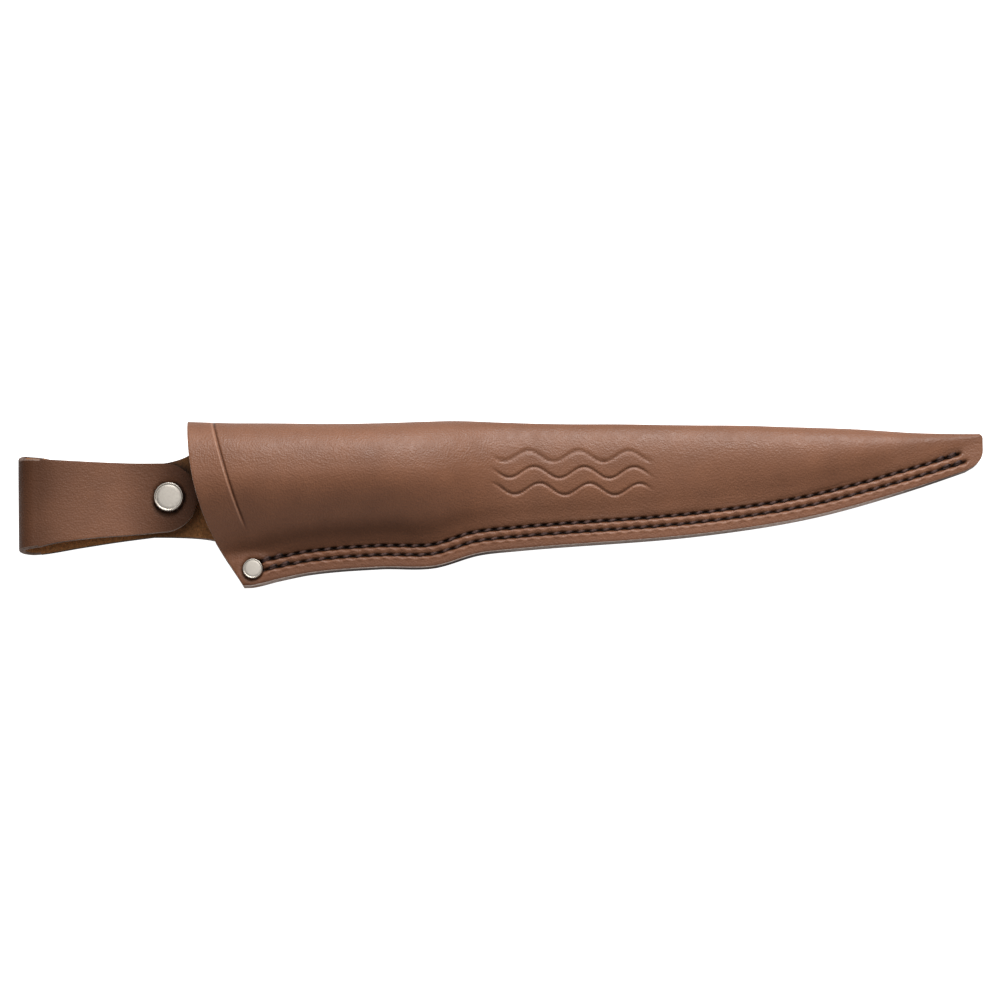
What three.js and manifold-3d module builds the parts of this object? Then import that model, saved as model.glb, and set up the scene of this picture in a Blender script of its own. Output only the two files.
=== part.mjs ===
// Leather belt sheath for a long fishing knife: a folded and sewn pocket with a snap-closed belt loop.
// Millimetres, +Z up. The sheath lies on its back: X runs from the belt loop to the tip,
// Y runs from the sewn edge to the folded spine, and the front panel faces +Z.
import * as THREE from 'three';
import { mergeVertices } from 'three/addons/utils/BufferGeometryUtils.js';
import Module from 'manifold-3d';

const wasm = await Module();
wasm.setup();

// Leather stock
const LEATHER = 2.2;
const WELT = 2.5;
const WELT_SKIVED = 0.5;
const WELT_SKIVE_LENGTH = 26;

// Pocket lengths, measured from the mouth along X
const POCKET_LENGTH = 271;
const HANDLE_LENGTH = 84;
const SHOULDER_LENGTH = 22;
const HOLLOW_STOP = 17;
const WELT_STOP = 5;

// Mouth: nearly square to the spine, then raked towards the sewn corner
const MOUTH_RAKE = 32.4;
const MOUTH_BEND = 17;
const CORNER_DEPTH = 30.3;
const MOUTH_LEAN = 3.4;
const CORNER_ROUND = 1.2;
const TIP_ROUND = 2.2;
const TIP_SWEEP = 8;
const CREASE_SETBACK = 8.5;
const CREASE_REACH = 19.8;
const CREASE_LOW = -12.3;
const CREASE_BOW = 4.5;
const CREASE_WIDTH = 1.1;
const CREASE_DEPTH = 0.5;

// Folded spine's distance from the strap's middle line
const SPINE_MOUTH = 25.6;
const SPINE_HANDLE = 25;
const SPINE_SHOULDER = 26.45;
const SPINE_BLADE = 25.5;
const SPINE_POINT = 24.3;
const SPINE_TIP = 22.9;
const SPINE_DIP = 0.45;

// Cut edge: how far it climbs from the sewn corner, and its run to the tip
const HANDLE_CLIMB = 6.9;
const SHOULDER_CLIMB = 12.8;
const BLADE_EDGE = -12.2;
const POINT_LENGTH = 59;
const POINT_EDGE = -6.3;
const POINT_CLIMB = 19.2;

// Pocket section heights
const MOUTH_CROWN = 23;
const HANDLE_CROWN = 24;
const BLADE_CROWN = 11.5;
const TIP_CROWN = 7.2;
const SEAM_LIFT = 2;
const BLADE_LIFT = 1.2;
const CROWN_SHARE = 0.58;
const NOSE_SHARE = 0.5;

// Sewn edge
const SEAM_WIDTH = 8.4;
const CORNER_FLAT = 3;
const OUTER_ROW = 4.1;
const ROW_GAP = 3.1;
const ROW_DRIFT = 1.2;
const THREAD = 1;
const THREAD_PROUD = 0.55;
const ROW_START = 26.2;
const ROW_STOP = 7.2;

// Belt strap, measured from the mouth towards -X
const STRAP_REACH = 57.5;
const BEND_RADIUS = 5.8;
const BEND_WIDTH = 33.6;
const NECK_WIDTH = 25.2;
const NECK_X = -12;
const NECK_FLARE = 3.3;
const STRAP_SWAY = -1.8;
const FOLD_TAPER_HIGH = 2.2;
const FOLD_TAPER_LOW = 0.9;
const FLAP_WIDTH = 23.6;
const FLAP_END = 9.6;

// Press stud on the strap
const SNAP_X = -6.4;
const SNAP_GAP = 4.2;
const SNAP_CAP_RADIUS = 5.05;
const SNAP_CAP_HEIGHT = 1.7;
const SNAP_SHANK = 1.1;
const SOCKET_RADIUS = 4.4;
const SOCKET_WALL = 0.5;
const STUD_FLANGE = 4;
const STUD_FLANGE_HEIGHT = 0.6;
const STUD_NECK = 1.4;
const STUD_HEAD = 1.95;
const STUD_HEAD_HEIGHT = 0.7;
const SPRING_WIRE = 0.5;
const POST_HEAD = 4;
const POST_HEAD_HEIGHT = 0.7;
const POST_SHANK = 0.7;

// Rivet at the sewn corner
const RIVET_INSET_X = 3.2;
const RIVET_INSET_Y = 5.7;
const RIVET_CAP = 3.4;
const RIVET_CAP_HEIGHT = 1.3;
const RIVET_TUBE = 1.5;
const RIVET_TUBE_WALL = 0.45;
const RIVET_POST_HEAD = 3.2;
const RIVET_POST_HEIGHT = 0.8;

// Clearances between pieces
const CLEARANCE = 0.3;
const SEAT = 0.1;

// Mesh steps
const LOFT_STEP = 7.5;
const TRIM = 3;
const BEYOND = 45;
const ROUND = 28;

// Solids

function solidOf(geometry) {
  const bare = geometry.index ? geometry.clone() : geometry;
  bare.deleteAttribute('normal');
  bare.deleteAttribute('uv');
  const merged = mergeVertices(bare, 1e-5);
  return new wasm.Manifold(new wasm.Mesh({
    numProp: 3,
    vertProperties: new Float32Array(merged.attributes.position.array),
    triVerts: new Uint32Array(merged.index.array),
  }));
}

function geometryOf(solid) {
  const mesh = solid.getMesh();
  const geometry = new THREE.BufferGeometry();
  geometry.setAttribute('position', new THREE.BufferAttribute(mesh.vertProperties, 3));
  geometry.setIndex(new THREE.BufferAttribute(mesh.triVerts, 1));
  geometry.computeVertexNormals();
  return geometry;
}

// A skin over closed rings of (y, z) points, one ring at each x, with flat ends.
function loft(stations, ringAt) {
  const rings = stations.map((x) => {
    const ring = ringAt(x);
    return THREE.ShapeUtils.isClockWise(ring) ? ring.reverse() : ring;
  });
  const count = rings[0].length;
  const last = (rings.length - 1) * count;
  const positions = [];
  rings.forEach((ring, i) => ring.forEach((p) => positions.push(stations[i], p.x, p.y)));
  const index = [];
  for (let i = 0; i + 1 < rings.length; i += 1) {
    for (let j = 0; j < count; j += 1) {
      const a = i * count + j;
      const b = i * count + ((j + 1) % count);
      index.push(a, b, a + count, b, b + count, a + count);
    }
  }
  THREE.ShapeUtils.triangulateShape(rings[0], []).forEach(([a, b, c]) => index.push(a, c, b));
  THREE.ShapeUtils.triangulateShape(rings[rings.length - 1], [])
    .forEach(([a, b, c]) => index.push(last + a, last + b, last + c));
  const geometry = new THREE.BufferGeometry();
  geometry.setAttribute('position', new THREE.Float32BufferAttribute(positions, 3));
  geometry.setIndex(index);
  return geometry;
}

function prism(shape, low, high, curveSegments = 12) {
  const geometry = new THREE.ExtrudeGeometry(shape, {
    depth: high - low,
    bevelEnabled: false,
    curveSegments,
  });
  return geometry.translate(0, 0, low);
}

// A turned piece round Z from (radius, z) points that run anticlockwise from the axis.
function turned(points, segments = ROUND) {
  const profile = points.map(([r, z]) => new THREE.Vector2(r, z));
  return new THREE.LatheGeometry(profile, segments).rotateX(Math.PI / 2);
}

function drill(radius, x, y, low, high) {
  const geometry = new THREE.CylinderGeometry(radius, radius, high - low, ROUND);
  geometry.rotateX(Math.PI / 2);
  return solidOf(geometry.translate(x, y, (low + high) / 2));
}

// A smooth line through hand-set (x, value) points.
function through(...points) {
  const at = new Float32Array(points.map((p) => p[0]));
  const value = new Float32Array(points.map((p) => p[1]));
  const line = new THREE.CubicInterpolant(at, value, 1, new Float32Array(1));
  const first = at[0];
  const last = at[at.length - 1];
  return (x) => line.evaluate(THREE.MathUtils.clamp(x, first, last))[0];
}

function stationsBetween(start, stop, step) {
  const count = Math.max(1, Math.ceil((stop - start) / step));
  return Array.from({ length: count + 1 }, (_, i) => start + ((stop - start) * i) / count);
}

// Pocket lines along X

const rake = THREE.MathUtils.degToRad(MOUTH_RAKE);
const corner = new THREE.Vector2(CORNER_DEPTH * Math.tan(rake), -CORNER_DEPTH);
const bladeStart = HANDLE_LENGTH + SHOULDER_LENGTH;
const bladeLength = POCKET_LENGTH - bladeStart;
const alongBlade = (share) => bladeStart + bladeLength * share;

const foldLine = through(
  [-TRIM, SPINE_MOUTH],
  [MOUTH_BEND, SPINE_HANDLE],
  [HANDLE_LENGTH * 0.8, SPINE_HANDLE],
  [HANDLE_LENGTH * 1.1, SPINE_SHOULDER],
  [bladeStart + SHOULDER_LENGTH * 0.6, SPINE_SHOULDER - SPINE_DIP],
  [alongBlade(0.42), SPINE_BLADE],
  [alongBlade(0.72), SPINE_POINT],
  [alongBlade(0.86), SPINE_TIP + SPINE_DIP / 2],
  [POCKET_LENGTH + TRIM, SPINE_TIP],
);

const cutEdge = through(
  [-TRIM, corner.y - HANDLE_CLIMB * 0.7],
  [corner.x, corner.y],
  [corner.x + CORNER_FLAT, corner.y + HANDLE_CLIMB * 0.02],
  [corner.x + 4 * CORNER_FLAT, corner.y + HANDLE_CLIMB * 0.34],
  [HANDLE_LENGTH * 0.5, corner.y + HANDLE_CLIMB * 0.66],
  [HANDLE_LENGTH * 0.78, corner.y + HANDLE_CLIMB * 0.94],
  [HANDLE_LENGTH, corner.y + HANDLE_CLIMB],
  [bladeStart - SHOULDER_LENGTH * 0.32, corner.y + SHOULDER_CLIMB * 0.88],
  [bladeStart + SHOULDER_LENGTH * 0.27, corner.y + SHOULDER_CLIMB],
  [alongBlade(0.42), BLADE_EDGE],
  [POCKET_LENGTH - POINT_LENGTH, POINT_EDGE],
  [POCKET_LENGTH - POINT_LENGTH * 0.47, POINT_EDGE + POINT_CLIMB * 0.45],
  [POCKET_LENGTH + TRIM, POINT_EDGE + POINT_CLIMB],
);

const crownHeight = through(
  [-TRIM, MOUTH_CROWN],
  [HANDLE_LENGTH * 0.5, HANDLE_CROWN],
  [HANDLE_LENGTH * 0.93, HANDLE_CROWN * 0.92],
  [bladeStart, BLADE_CROWN * 1.13],
  [bladeStart + SHOULDER_LENGTH * 0.82, BLADE_CROWN],
  [alongBlade(0.75), BLADE_CROWN * 0.91],
  [POCKET_LENGTH - POINT_LENGTH * 0.22, TIP_CROWN],
  [POCKET_LENGTH + TRIM, BLADE_LIFT + 2 * LEATHER + WELT_SKIVED + SEAT],
);

const { smoothstep } = THREE.MathUtils;
const seamBack = (x) => SEAM_LIFT * smoothstep(x, 1, corner.x - 1)
  + (BLADE_LIFT - SEAM_LIFT) * smoothstep(x, HANDLE_LENGTH, bladeStart + SHOULDER_LENGTH);

const hollowEnd = POCKET_LENGTH - HOLLOW_STOP;
const weltStop = POCKET_LENGTH - WELT_STOP;
const rowStop = POCKET_LENGTH - ROW_STOP;
const weltThickness = (x) => WELT
  + (WELT_SKIVED - WELT) * smoothstep(x, weltStop - WELT_SKIVE_LENGTH, weltStop);

const seamFront = (x) => seamBack(x) + 2 * LEATHER + weltThickness(x);

// The sewn edge narrows a little at the tip, and its rows with it.
const { clamp } = THREE.MathUtils;
const rowDrift = (x) => ROW_DRIFT * clamp((x - ROW_START) / (rowStop - ROW_START), 0, 1) ** 6;
const seamWidth = (x) => SEAM_WIDTH - rowDrift(x)
  + CORNER_FLAT * (1 - smoothstep(x, corner.x, corner.x + 4 * RIVET_CAP));

// Every skin takes its rings from one list, so that skins that face each other bend alike.
const ends = [
  -2 * TRIM, -TRIM, hollowEnd - 2, hollowEnd, weltStop - CLEARANCE, weltStop + 1, POCKET_LENGTH + TRIM,
];
const grid = [...stationsBetween(0, POCKET_LENGTH, LOFT_STEP), ...ends].sort((a, b) => a - b);
const gridBetween = (start, stop) => grid.filter((x) => x >= start && x <= stop);

// Distance up from the cut edge that stays square to it where the edge climbs.
function aboveEdge(x, distance) {
  const climb = (cutEdge(x + 0.5) - cutEdge(x - 0.5));
  return cutEdge(x) + distance * Math.hypot(1, climb);
}

// Closed section of the folded leather, sunk by inset from its outer face.
function pocketSection(x, inset) {
  const fold = foldLine(x);
  const foot = aboveEdge(x, seamWidth(x));
  const span = fold - foot;
  const crownY = foot + span * CROWN_SHARE;
  const noseZ = crownHeight(x) * NOSE_SHARE;
  const front = seamFront(x) - inset;
  const back = seamBack(x) + inset;
  const rise = crownHeight(x) - inset - front;
  const innerFoot = foot + inset * 0.4;
  const backFlat = foot + span * 0.36;
  const backTurn = fold - span * 0.19;
  const edge = cutEdge(x) - TRIM;
  const points = [new THREE.Vector2(edge, front)];
  for (let k = 0; k < 7; k += 1) {
    const s = k / 7;
    const lift = Math.sin((Math.PI / 2) * s) ** 1.3;
    points.push(new THREE.Vector2(innerFoot + (crownY - innerFoot) * s, front + rise * lift));
  }
  for (let k = 0; k < 6; k += 1) {
    const turn = (Math.PI / 2) * (k / 6);
    points.push(new THREE.Vector2(
      crownY + (fold - inset - crownY) * Math.sin(turn),
      noseZ + (front + rise - noseZ) * Math.cos(turn),
    ));
  }
  for (let k = 0; k < 5; k += 1) {
    const turn = (Math.PI / 2) * (k / 5);
    points.push(new THREE.Vector2(
      backTurn + (fold - inset - backTurn) * Math.cos(turn),
      noseZ - (noseZ - inset) * Math.sin(turn),
    ));
  }
  points.push(new THREE.Vector2(backTurn, inset));
  for (let k = 0; k <= 4; k += 1) {
    const s = k / 4;
    const lift = 0.5 - 0.5 * Math.cos(Math.PI * s);
    points.push(new THREE.Vector2(backFlat + (innerFoot - backFlat) * s, inset + (back - inset) * lift));
  }
  points.push(new THREE.Vector2(edge, back));
  return points;
}

// Flat outline of the pocket seen from the front.
function pocketOutline() {
  const shape = new THREE.Shape();
  const tipLow = cutEdge(POCKET_LENGTH - TIP_SWEEP);
  const tipHigh = foldLine(POCKET_LENGTH);
  const down = new THREE.Vector2(Math.sin(rake), -Math.cos(rake));
  const lean = Math.tan(THREE.MathUtils.degToRad(MOUTH_LEAN));
  const turnY = (SPINE_MOUTH * lean) / (lean - Math.tan(rake));
  const nearCorner = corner.clone().addScaledVector(down, -CORNER_ROUND);
  const alongEdge = stationsBetween(corner.x + CORNER_ROUND, POCKET_LENGTH - TIP_SWEEP, 6);
  shape.moveTo(0, BEYOND);
  shape.lineTo(0, SPINE_MOUTH);
  shape.quadraticCurveTo(-turnY * Math.tan(rake), turnY, MOUTH_BEND * Math.tan(rake), -MOUTH_BEND);
  shape.lineTo(nearCorner.x, nearCorner.y);
  shape.quadraticCurveTo(corner.x, corner.y, alongEdge[0], cutEdge(alongEdge[0]));
  alongEdge.slice(1).forEach((x) => shape.lineTo(x, cutEdge(x)));
  shape.bezierCurveTo(
    POCKET_LENGTH - TIP_SWEEP * 0.52, tipLow + TIP_SWEEP * 0.16,
    POCKET_LENGTH, tipLow + TIP_SWEEP * 0.42,
    POCKET_LENGTH, tipLow + TIP_SWEEP,
  );
  shape.lineTo(POCKET_LENGTH, tipHigh - TIP_ROUND);
  shape.quadraticCurveTo(POCKET_LENGTH, tipHigh, POCKET_LENGTH - TIP_ROUND, tipHigh + CLEARANCE);
  shape.lineTo(POCKET_LENGTH - TIP_ROUND, BEYOND);
  shape.closePath();
  return shape;
}

const outlinePrism = solidOf(prism(pocketOutline(), -TRIM, BEYOND));

// Belt strap lines

const bendX = -STRAP_REACH + BEND_RADIUS;
const bendTop = 2 * BEND_RADIUS;
const neckBottom = -NECK_WIDTH / 2;
const neckTop = NECK_WIDTH / 2;

function strapOutline() {
  const shape = new THREE.Shape();
  const meets = -neckBottom * Math.tan(rake);
  const bendLow = STRAP_SWAY - BEND_WIDTH / 2;
  const bendHigh = STRAP_SWAY + BEND_WIDTH / 2;
  shape.moveTo(MOUTH_BEND, neckTop + NECK_FLARE);
  shape.lineTo(MOUTH_BEND * 0.06, neckTop + NECK_FLARE);
  shape.quadraticCurveTo(-1, neckTop + 0.4, NECK_X, neckTop);
  shape.bezierCurveTo(NECK_X - 24, neckTop - 1, bendX + 9, bendHigh - 2.2, bendX + CLEARANCE, bendHigh);
  shape.lineTo(bendX + CLEARANCE, bendLow);
  shape.bezierCurveTo(bendX + 14, bendLow + 0.8, NECK_X - 14, neckBottom - 1, NECK_X, neckBottom);
  shape.lineTo(meets - 4, neckBottom - 0.2);
  shape.quadraticCurveTo(meets, neckBottom, meets + 2, neckBottom - NECK_FLARE);
  shape.lineTo(MOUTH_BEND, neckBottom - NECK_FLARE);
  shape.closePath();
  return shape;
}

// Underside of the flap, which comes down from the bend and lies level over the press stud.
const flapUnder = LEATHER + SNAP_GAP;
const flapDrop = bendTop - LEATHER - flapUnder;
const flapRun = (x) => flapUnder + flapDrop * (1 - smoothstep(x, bendX, SNAP_X - SNAP_CAP_RADIUS - 1));

function flapOutline() {
  const shape = new THREE.Shape();
  const startLow = STRAP_SWAY - BEND_WIDTH / 2 + FOLD_TAPER_LOW;
  const startHigh = STRAP_SWAY + BEND_WIDTH / 2 - FOLD_TAPER_HIGH;
  const half = FLAP_WIDTH / 2;
  const start = bendX + CLEARANCE;
  const end = SNAP_X - 2;
  shape.moveTo(start, startHigh);
  shape.bezierCurveTo(start + 10, half + 0.5, end - 14, half - 0.3, end, half);
  shape.absellipse(end, 0, FLAP_END + 2, half, Math.PI / 2, -Math.PI / 2, true);
  shape.bezierCurveTo(end - 16, -half - 0.8, start + 12, startLow + 2.5, start, startLow);
  shape.closePath();
  return shape;
}

// Press stud heights, from the strap up to the flap
const studBase = LEATHER + SEAT;
const studFlangeTop = studBase + STUD_FLANGE_HEIGHT;
const socketTop = flapUnder - SEAT;
const socketLow = studFlangeTop + CLEARANCE;
const clinchLow = socketTop - SOCKET_WALL - SOCKET_WALL - SEAT;
const studTop = clinchLow - CLEARANCE;
const studHeadLow = studTop - STUD_HEAD_HEIGHT;
const springZ = studHeadLow - SEAT - SPRING_WIRE / 2;
const springRing = STUD_NECK + CLEARANCE + SPRING_WIRE / 2;
const shankHole = SNAP_SHANK + CLEARANCE;
const studBore = POST_SHANK + CLEARANCE / 2;

// Rivet place
const rivetX = corner.x + RIVET_INSET_X;
const rivetY = corner.y + RIVET_INSET_Y;
const rivetBack = seamBack(rivetX);
const rivetFront = seamFront(rivetX);
const rivetHole = RIVET_TUBE + CLEARANCE;

// Stitching lines

function stitchPath(distance, start, stop, front) {
  const side = front ? 1 : -1;
  const face = front ? seamFront : seamBack;
  const points = stationsBetween(start, stop, 6).map((x) => new THREE.Vector3(
    x,
    aboveEdge(x, distance - rowDrift(x)),
    face(x) + side * (THREAD_PROUD - THREAD / 2),
  ));
  return new THREE.CatmullRomCurve3(points);
}

function cordAlong(path, diameter, sides, steps) {
  const shape = new THREE.Shape();
  shape.absarc(0, 0, diameter / 2, 0, Math.PI * 2);
  return new THREE.ExtrudeGeometry(shape, {
    steps,
    curveSegments: sides,
    extrudePath: path,
  });
}

const rows = [true, false].flatMap((front) => [
  { name: 'inner', distance: OUTER_ROW + ROW_GAP, start: ROW_START - 0.4, stop: rowStop - 2, front },
  { name: 'outer', distance: OUTER_ROW, start: ROW_START + 1, stop: rowStop, front },
]);

// Pieces

function bodyLeather() {
  const outerX = gridBetween(-TRIM, POCKET_LENGTH + TRIM);
  const hollowX = gridBetween(-2 * TRIM, hollowEnd);
  const outer = solidOf(loft(outerX, (x) => pocketSection(x, 0)));
  const hollow = solidOf(loft(hollowX, (x) => pocketSection(x, LEATHER)));
  const slot = solidOf(loft(gridBetween(hollowEnd - 2, weltStop + 1), (x) => [
    new THREE.Vector2(cutEdge(x) - TRIM, seamBack(x) + LEATHER),
    new THREE.Vector2(aboveEdge(x, SEAM_WIDTH - rowDrift(x)), seamBack(x) + LEATHER),
    new THREE.Vector2(aboveEdge(x, SEAM_WIDTH - rowDrift(x)), seamFront(x) - LEATHER),
    new THREE.Vector2(cutEdge(x) - TRIM, seamFront(x) - LEATHER),
  ]));
  const strap = solidOf(prism(strapOutline(), 0, LEATHER));
  let body = outer.intersect(outlinePrism).subtract(hollow).subtract(slot).add(strap);

  // Pressed line beside the mouth
  const underCrease = solidOf(loft(outerX, (x) => pocketSection(x, CREASE_DEPTH)));
  const creaseCut = solidOf(prism(creaseOutline(), MOUTH_CROWN * NOSE_SHARE, BEYOND));
  body = body.subtract(creaseCut.subtract(underCrease));

  rows.forEach((row) => {
    const path = stitchPath(row.distance, row.start - 2 * CLEARANCE, row.stop + 2 * CLEARANCE, row.front);
    body = body.subtract(solidOf(cordAlong(path, THREAD + 2 * CLEARANCE, 4, 44)));
  });
  body = body.subtract(drill(rivetHole, rivetX, rivetY, -TRIM, BEYOND));
  body = body.subtract(drill(studBore + CLEARANCE, SNAP_X, 0, -TRIM, LEATHER + TRIM));
  body = body.subtract(drill(POST_HEAD + CLEARANCE, SNAP_X, 0, -TRIM, POST_HEAD_HEIGHT + 2 * SEAT));
  return geometryOf(body);
}

// The pressed line bows away from the mouth and thins out at its lower end.
function creaseOutline() {
  const top = new THREE.Vector2(CREASE_SETBACK, SPINE_MOUTH);
  const low = new THREE.Vector2(CREASE_REACH, CREASE_LOW);
  const bow = new THREE.Vector2(CREASE_SETBACK + CREASE_BOW, CREASE_LOW + (SPINE_MOUTH - CREASE_LOW) * 0.36);
  const curve = new THREE.QuadraticBezierCurve(top, bow, low);
  const side = (share, sign) => {
    const along = curve.getTangent(share);
    const spread = sign * (CREASE_WIDTH / 2) * (1 - share ** 4);
    return curve.getPoint(share).add(new THREE.Vector2(-along.y, along.x).multiplyScalar(spread));
  };
  const shares = [0, 0.2, 0.4, 0.6, 0.8, 0.94];
  const right = shares.map((share) => side(share, 1));
  const left = shares.map((share) => side(share, -1));
  const over = curve.getTangent(0).multiplyScalar(-BEYOND / 3);
  return new THREE.Shape([
    left[0].clone().add(over),
    ...left,
    low,
    ...right.reverse(),
    side(0, 1).add(over),
  ]);
}

function weltStrip() {
  const inner = SEAM_WIDTH - 0.4;
  const stations = gridBetween(-TRIM, weltStop - CLEARANCE);
  let welt = solidOf(loft(stations, (x) => [
    new THREE.Vector2(cutEdge(x) - TRIM, seamBack(x) + LEATHER + SEAT),
    new THREE.Vector2(aboveEdge(x, inner - rowDrift(x)), seamBack(x) + LEATHER + SEAT),
    new THREE.Vector2(aboveEdge(x, inner - rowDrift(x)), seamFront(x) - LEATHER - SEAT),
    new THREE.Vector2(cutEdge(x) - TRIM, seamFront(x) - LEATHER - SEAT),
  ])).intersect(outlinePrism);
  welt = welt.subtract(drill(rivetHole, rivetX, rivetY, -TRIM, BEYOND));
  return geometryOf(welt);
}

function beltFold() {
  const band = new THREE.Shape();
  band.absarc(0, 0, BEND_RADIUS, Math.PI / 2, Math.PI * 1.5, false);
  band.absarc(0, 0, BEND_RADIUS - LEATHER, Math.PI * 1.5, Math.PI / 2, true);
  band.closePath();
  const geometry = prism(band, -BEND_WIDTH / 2, BEND_WIDTH / 2, 14);
  geometry.rotateX(Math.PI / 2);
  geometry.translate(bendX, STRAP_SWAY, BEND_RADIUS);
  const corners = geometry.attributes.position;
  for (let i = 0; i < corners.count; i += 1) {
    const y = corners.getY(i);
    const taper = y > STRAP_SWAY ? -FOLD_TAPER_HIGH : FOLD_TAPER_LOW;
    corners.setY(i, y + taper * smoothstep(corners.getZ(i), BEND_RADIUS * 0.7, bendTop));
  }
  return geometry;
}

function beltFlap() {
  const stations = stationsBetween(bendX, SNAP_X + FLAP_END + TRIM, 3);
  const sheet = solidOf(loft(stations, (x) => [
    new THREE.Vector2(-BEND_WIDTH, flapRun(x)),
    new THREE.Vector2(BEND_WIDTH, flapRun(x)),
    new THREE.Vector2(BEND_WIDTH, flapRun(x) + LEATHER),
    new THREE.Vector2(-BEND_WIDTH, flapRun(x) + LEATHER),
  ]));
  const flap = sheet.intersect(solidOf(prism(flapOutline(), -TRIM, BEYOND)));
  return geometryOf(flap.subtract(drill(shankHole, SNAP_X, 0, -TRIM, BEYOND)));
}

function snapCap() {
  const seat = flapUnder + LEATHER + SEAT;
  return turned([
    [0, clinchLow],
    [SNAP_SHANK + CLEARANCE + SOCKET_WALL, clinchLow],
    [SNAP_SHANK + CLEARANCE + SOCKET_WALL, clinchLow + SOCKET_WALL],
    [SNAP_SHANK, clinchLow + SOCKET_WALL],
    [SNAP_SHANK, seat],
    [SNAP_CAP_RADIUS - 0.3, seat],
    [SNAP_CAP_RADIUS, seat + 0.4],
    [SNAP_CAP_RADIUS, seat + 0.7],
    [SNAP_CAP_RADIUS - 0.6, seat + SNAP_CAP_HEIGHT - 0.4],
    [SNAP_CAP_RADIUS * 0.5, seat + SNAP_CAP_HEIGHT - 0.1],
    [0, seat + SNAP_CAP_HEIGHT],
  ]);
}

function snapSocket() {
  const lip = STUD_HEAD + CLEARANCE;
  const groove = springRing + SPRING_WIRE / 2 + CLEARANCE;
  const roof = socketTop - SOCKET_WALL;
  const grooveLow = springZ - SPRING_WIRE / 2 - SEAT;
  return turned([
    [lip, socketLow],
    [SOCKET_RADIUS - 0.4, socketLow],
    [SOCKET_RADIUS, socketLow + 0.5],
    [SOCKET_RADIUS, socketTop],
    [shankHole, socketTop],
    [shankHole, roof],
    [groove, roof],
    [groove, grooveLow],
    [lip, grooveLow],
    [lip, socketLow],
  ]);
}

function snapSpring() {
  const ring = new THREE.TorusGeometry(springRing, SPRING_WIRE / 2, 6, 22, Math.PI * 1.75);
  const bare = ring.toNonIndexed();
  const ends = [0, Math.PI * 1.75].map((turn, side) => {
    const disc = new THREE.CircleGeometry(SPRING_WIRE / 2, 6);
    disc.rotateX(side === 0 ? Math.PI / 2 : -Math.PI / 2);
    disc.translate(springRing, 0, 0);
    return disc.rotateZ(turn);
  });
  const positions = [bare, ...ends.map((disc) => disc.toNonIndexed())]
    .flatMap((geometry) => Array.from(geometry.attributes.position.array));
  const whole = new THREE.BufferGeometry();
  whole.setAttribute('position', new THREE.Float32BufferAttribute(positions, 3));
  return geometryOf(solidOf(mergeVertices(whole, 1e-4).translate(0, 0, springZ)));
}

function snapStud() {
  return turned([
    [studBore, studBase],
    [STUD_FLANGE, studBase],
    [STUD_FLANGE, studBase + STUD_FLANGE_HEIGHT * 0.6],
    [STUD_FLANGE - 0.5, studFlangeTop],
    [STUD_NECK, studFlangeTop],
    [STUD_NECK, studHeadLow],
    [STUD_HEAD, studHeadLow + STUD_HEAD_HEIGHT * 0.35],
    [STUD_HEAD - 0.35, studTop],
    [0, studTop],
    [0, studHeadLow],
    [studBore, studHeadLow],
    [studBore, studBase],
  ]);
}

function snapPost() {
  const headTop = SEAT / 2 + POST_HEAD_HEIGHT;
  return turned([
    [0, SEAT / 2],
    [POST_HEAD - 0.4, SEAT / 2],
    [POST_HEAD, headTop - 0.3],
    [POST_HEAD, headTop],
    [POST_SHANK, headTop],
    [POST_SHANK, studHeadLow - CLEARANCE],
    [0, studHeadLow - CLEARANCE],
  ]);
}

function rivetCap() {
  const seat = rivetFront + SEAT;
  const bore = RIVET_TUBE - RIVET_TUBE_WALL;
  const tubeEnd = rivetBack + LEATHER;
  return turned([
    [bore, tubeEnd],
    [RIVET_TUBE, tubeEnd],
    [RIVET_TUBE, seat],
    [RIVET_CAP - 0.3, seat],
    [RIVET_CAP, seat + 0.3],
    [RIVET_CAP, seat + 0.5],
    [RIVET_CAP * 0.8, seat + RIVET_CAP_HEIGHT - 0.25],
    [RIVET_CAP * 0.4, seat + RIVET_CAP_HEIGHT],
    [0, seat + RIVET_CAP_HEIGHT],
    [0, seat],
    [bore, seat],
    [bore, tubeEnd],
  ]);
}

function rivetPost() {
  const post = RIVET_TUBE - RIVET_TUBE_WALL - CLEARANCE;
  const seat = rivetBack - SEAT;
  const top = rivetFront - CLEARANCE;
  return turned([
    [0, seat - RIVET_POST_HEIGHT],
    [RIVET_POST_HEAD - 0.6, seat - RIVET_POST_HEIGHT],
    [RIVET_POST_HEAD, seat - RIVET_POST_HEIGHT * 0.5],
    [RIVET_POST_HEAD, seat],
    [post, seat],
    [post, top - 0.4],
    [post * 0.6, top],
    [0, top],
  ]);
}

// Assembly

const finish = (color, roughness, metalness) => ({ color, roughness, metalness });
const GRAIN = finish(0x7c5844, 0.55, 0);
const WELT_EDGE = finish(0x6a4c3c, 0.8, 0);
const CORD = finish(0x2e211d, 0.7, 0);
const NICKEL = finish(0xc8bfb4, 0.3, 1);

function add(group, name, geometry, look) {
  const mesh = new THREE.Mesh(geometry, new THREE.MeshStandardMaterial(look));
  mesh.name = name;
  group.add(mesh);
}

const sheath = new THREE.Group();
sheath.name = 'sheath';
add(sheath, 'body_leather', bodyLeather(), GRAIN);
add(sheath, 'welt', weltStrip(), WELT_EDGE);
rows.forEach((row) => {
  const path = stitchPath(row.distance, row.start, row.stop, row.front);
  const face = row.front ? 'front' : 'back';
  add(sheath, `stitch_${row.name}_${face}`, cordAlong(path, THREAD, 4, 44), CORD);
});

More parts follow.
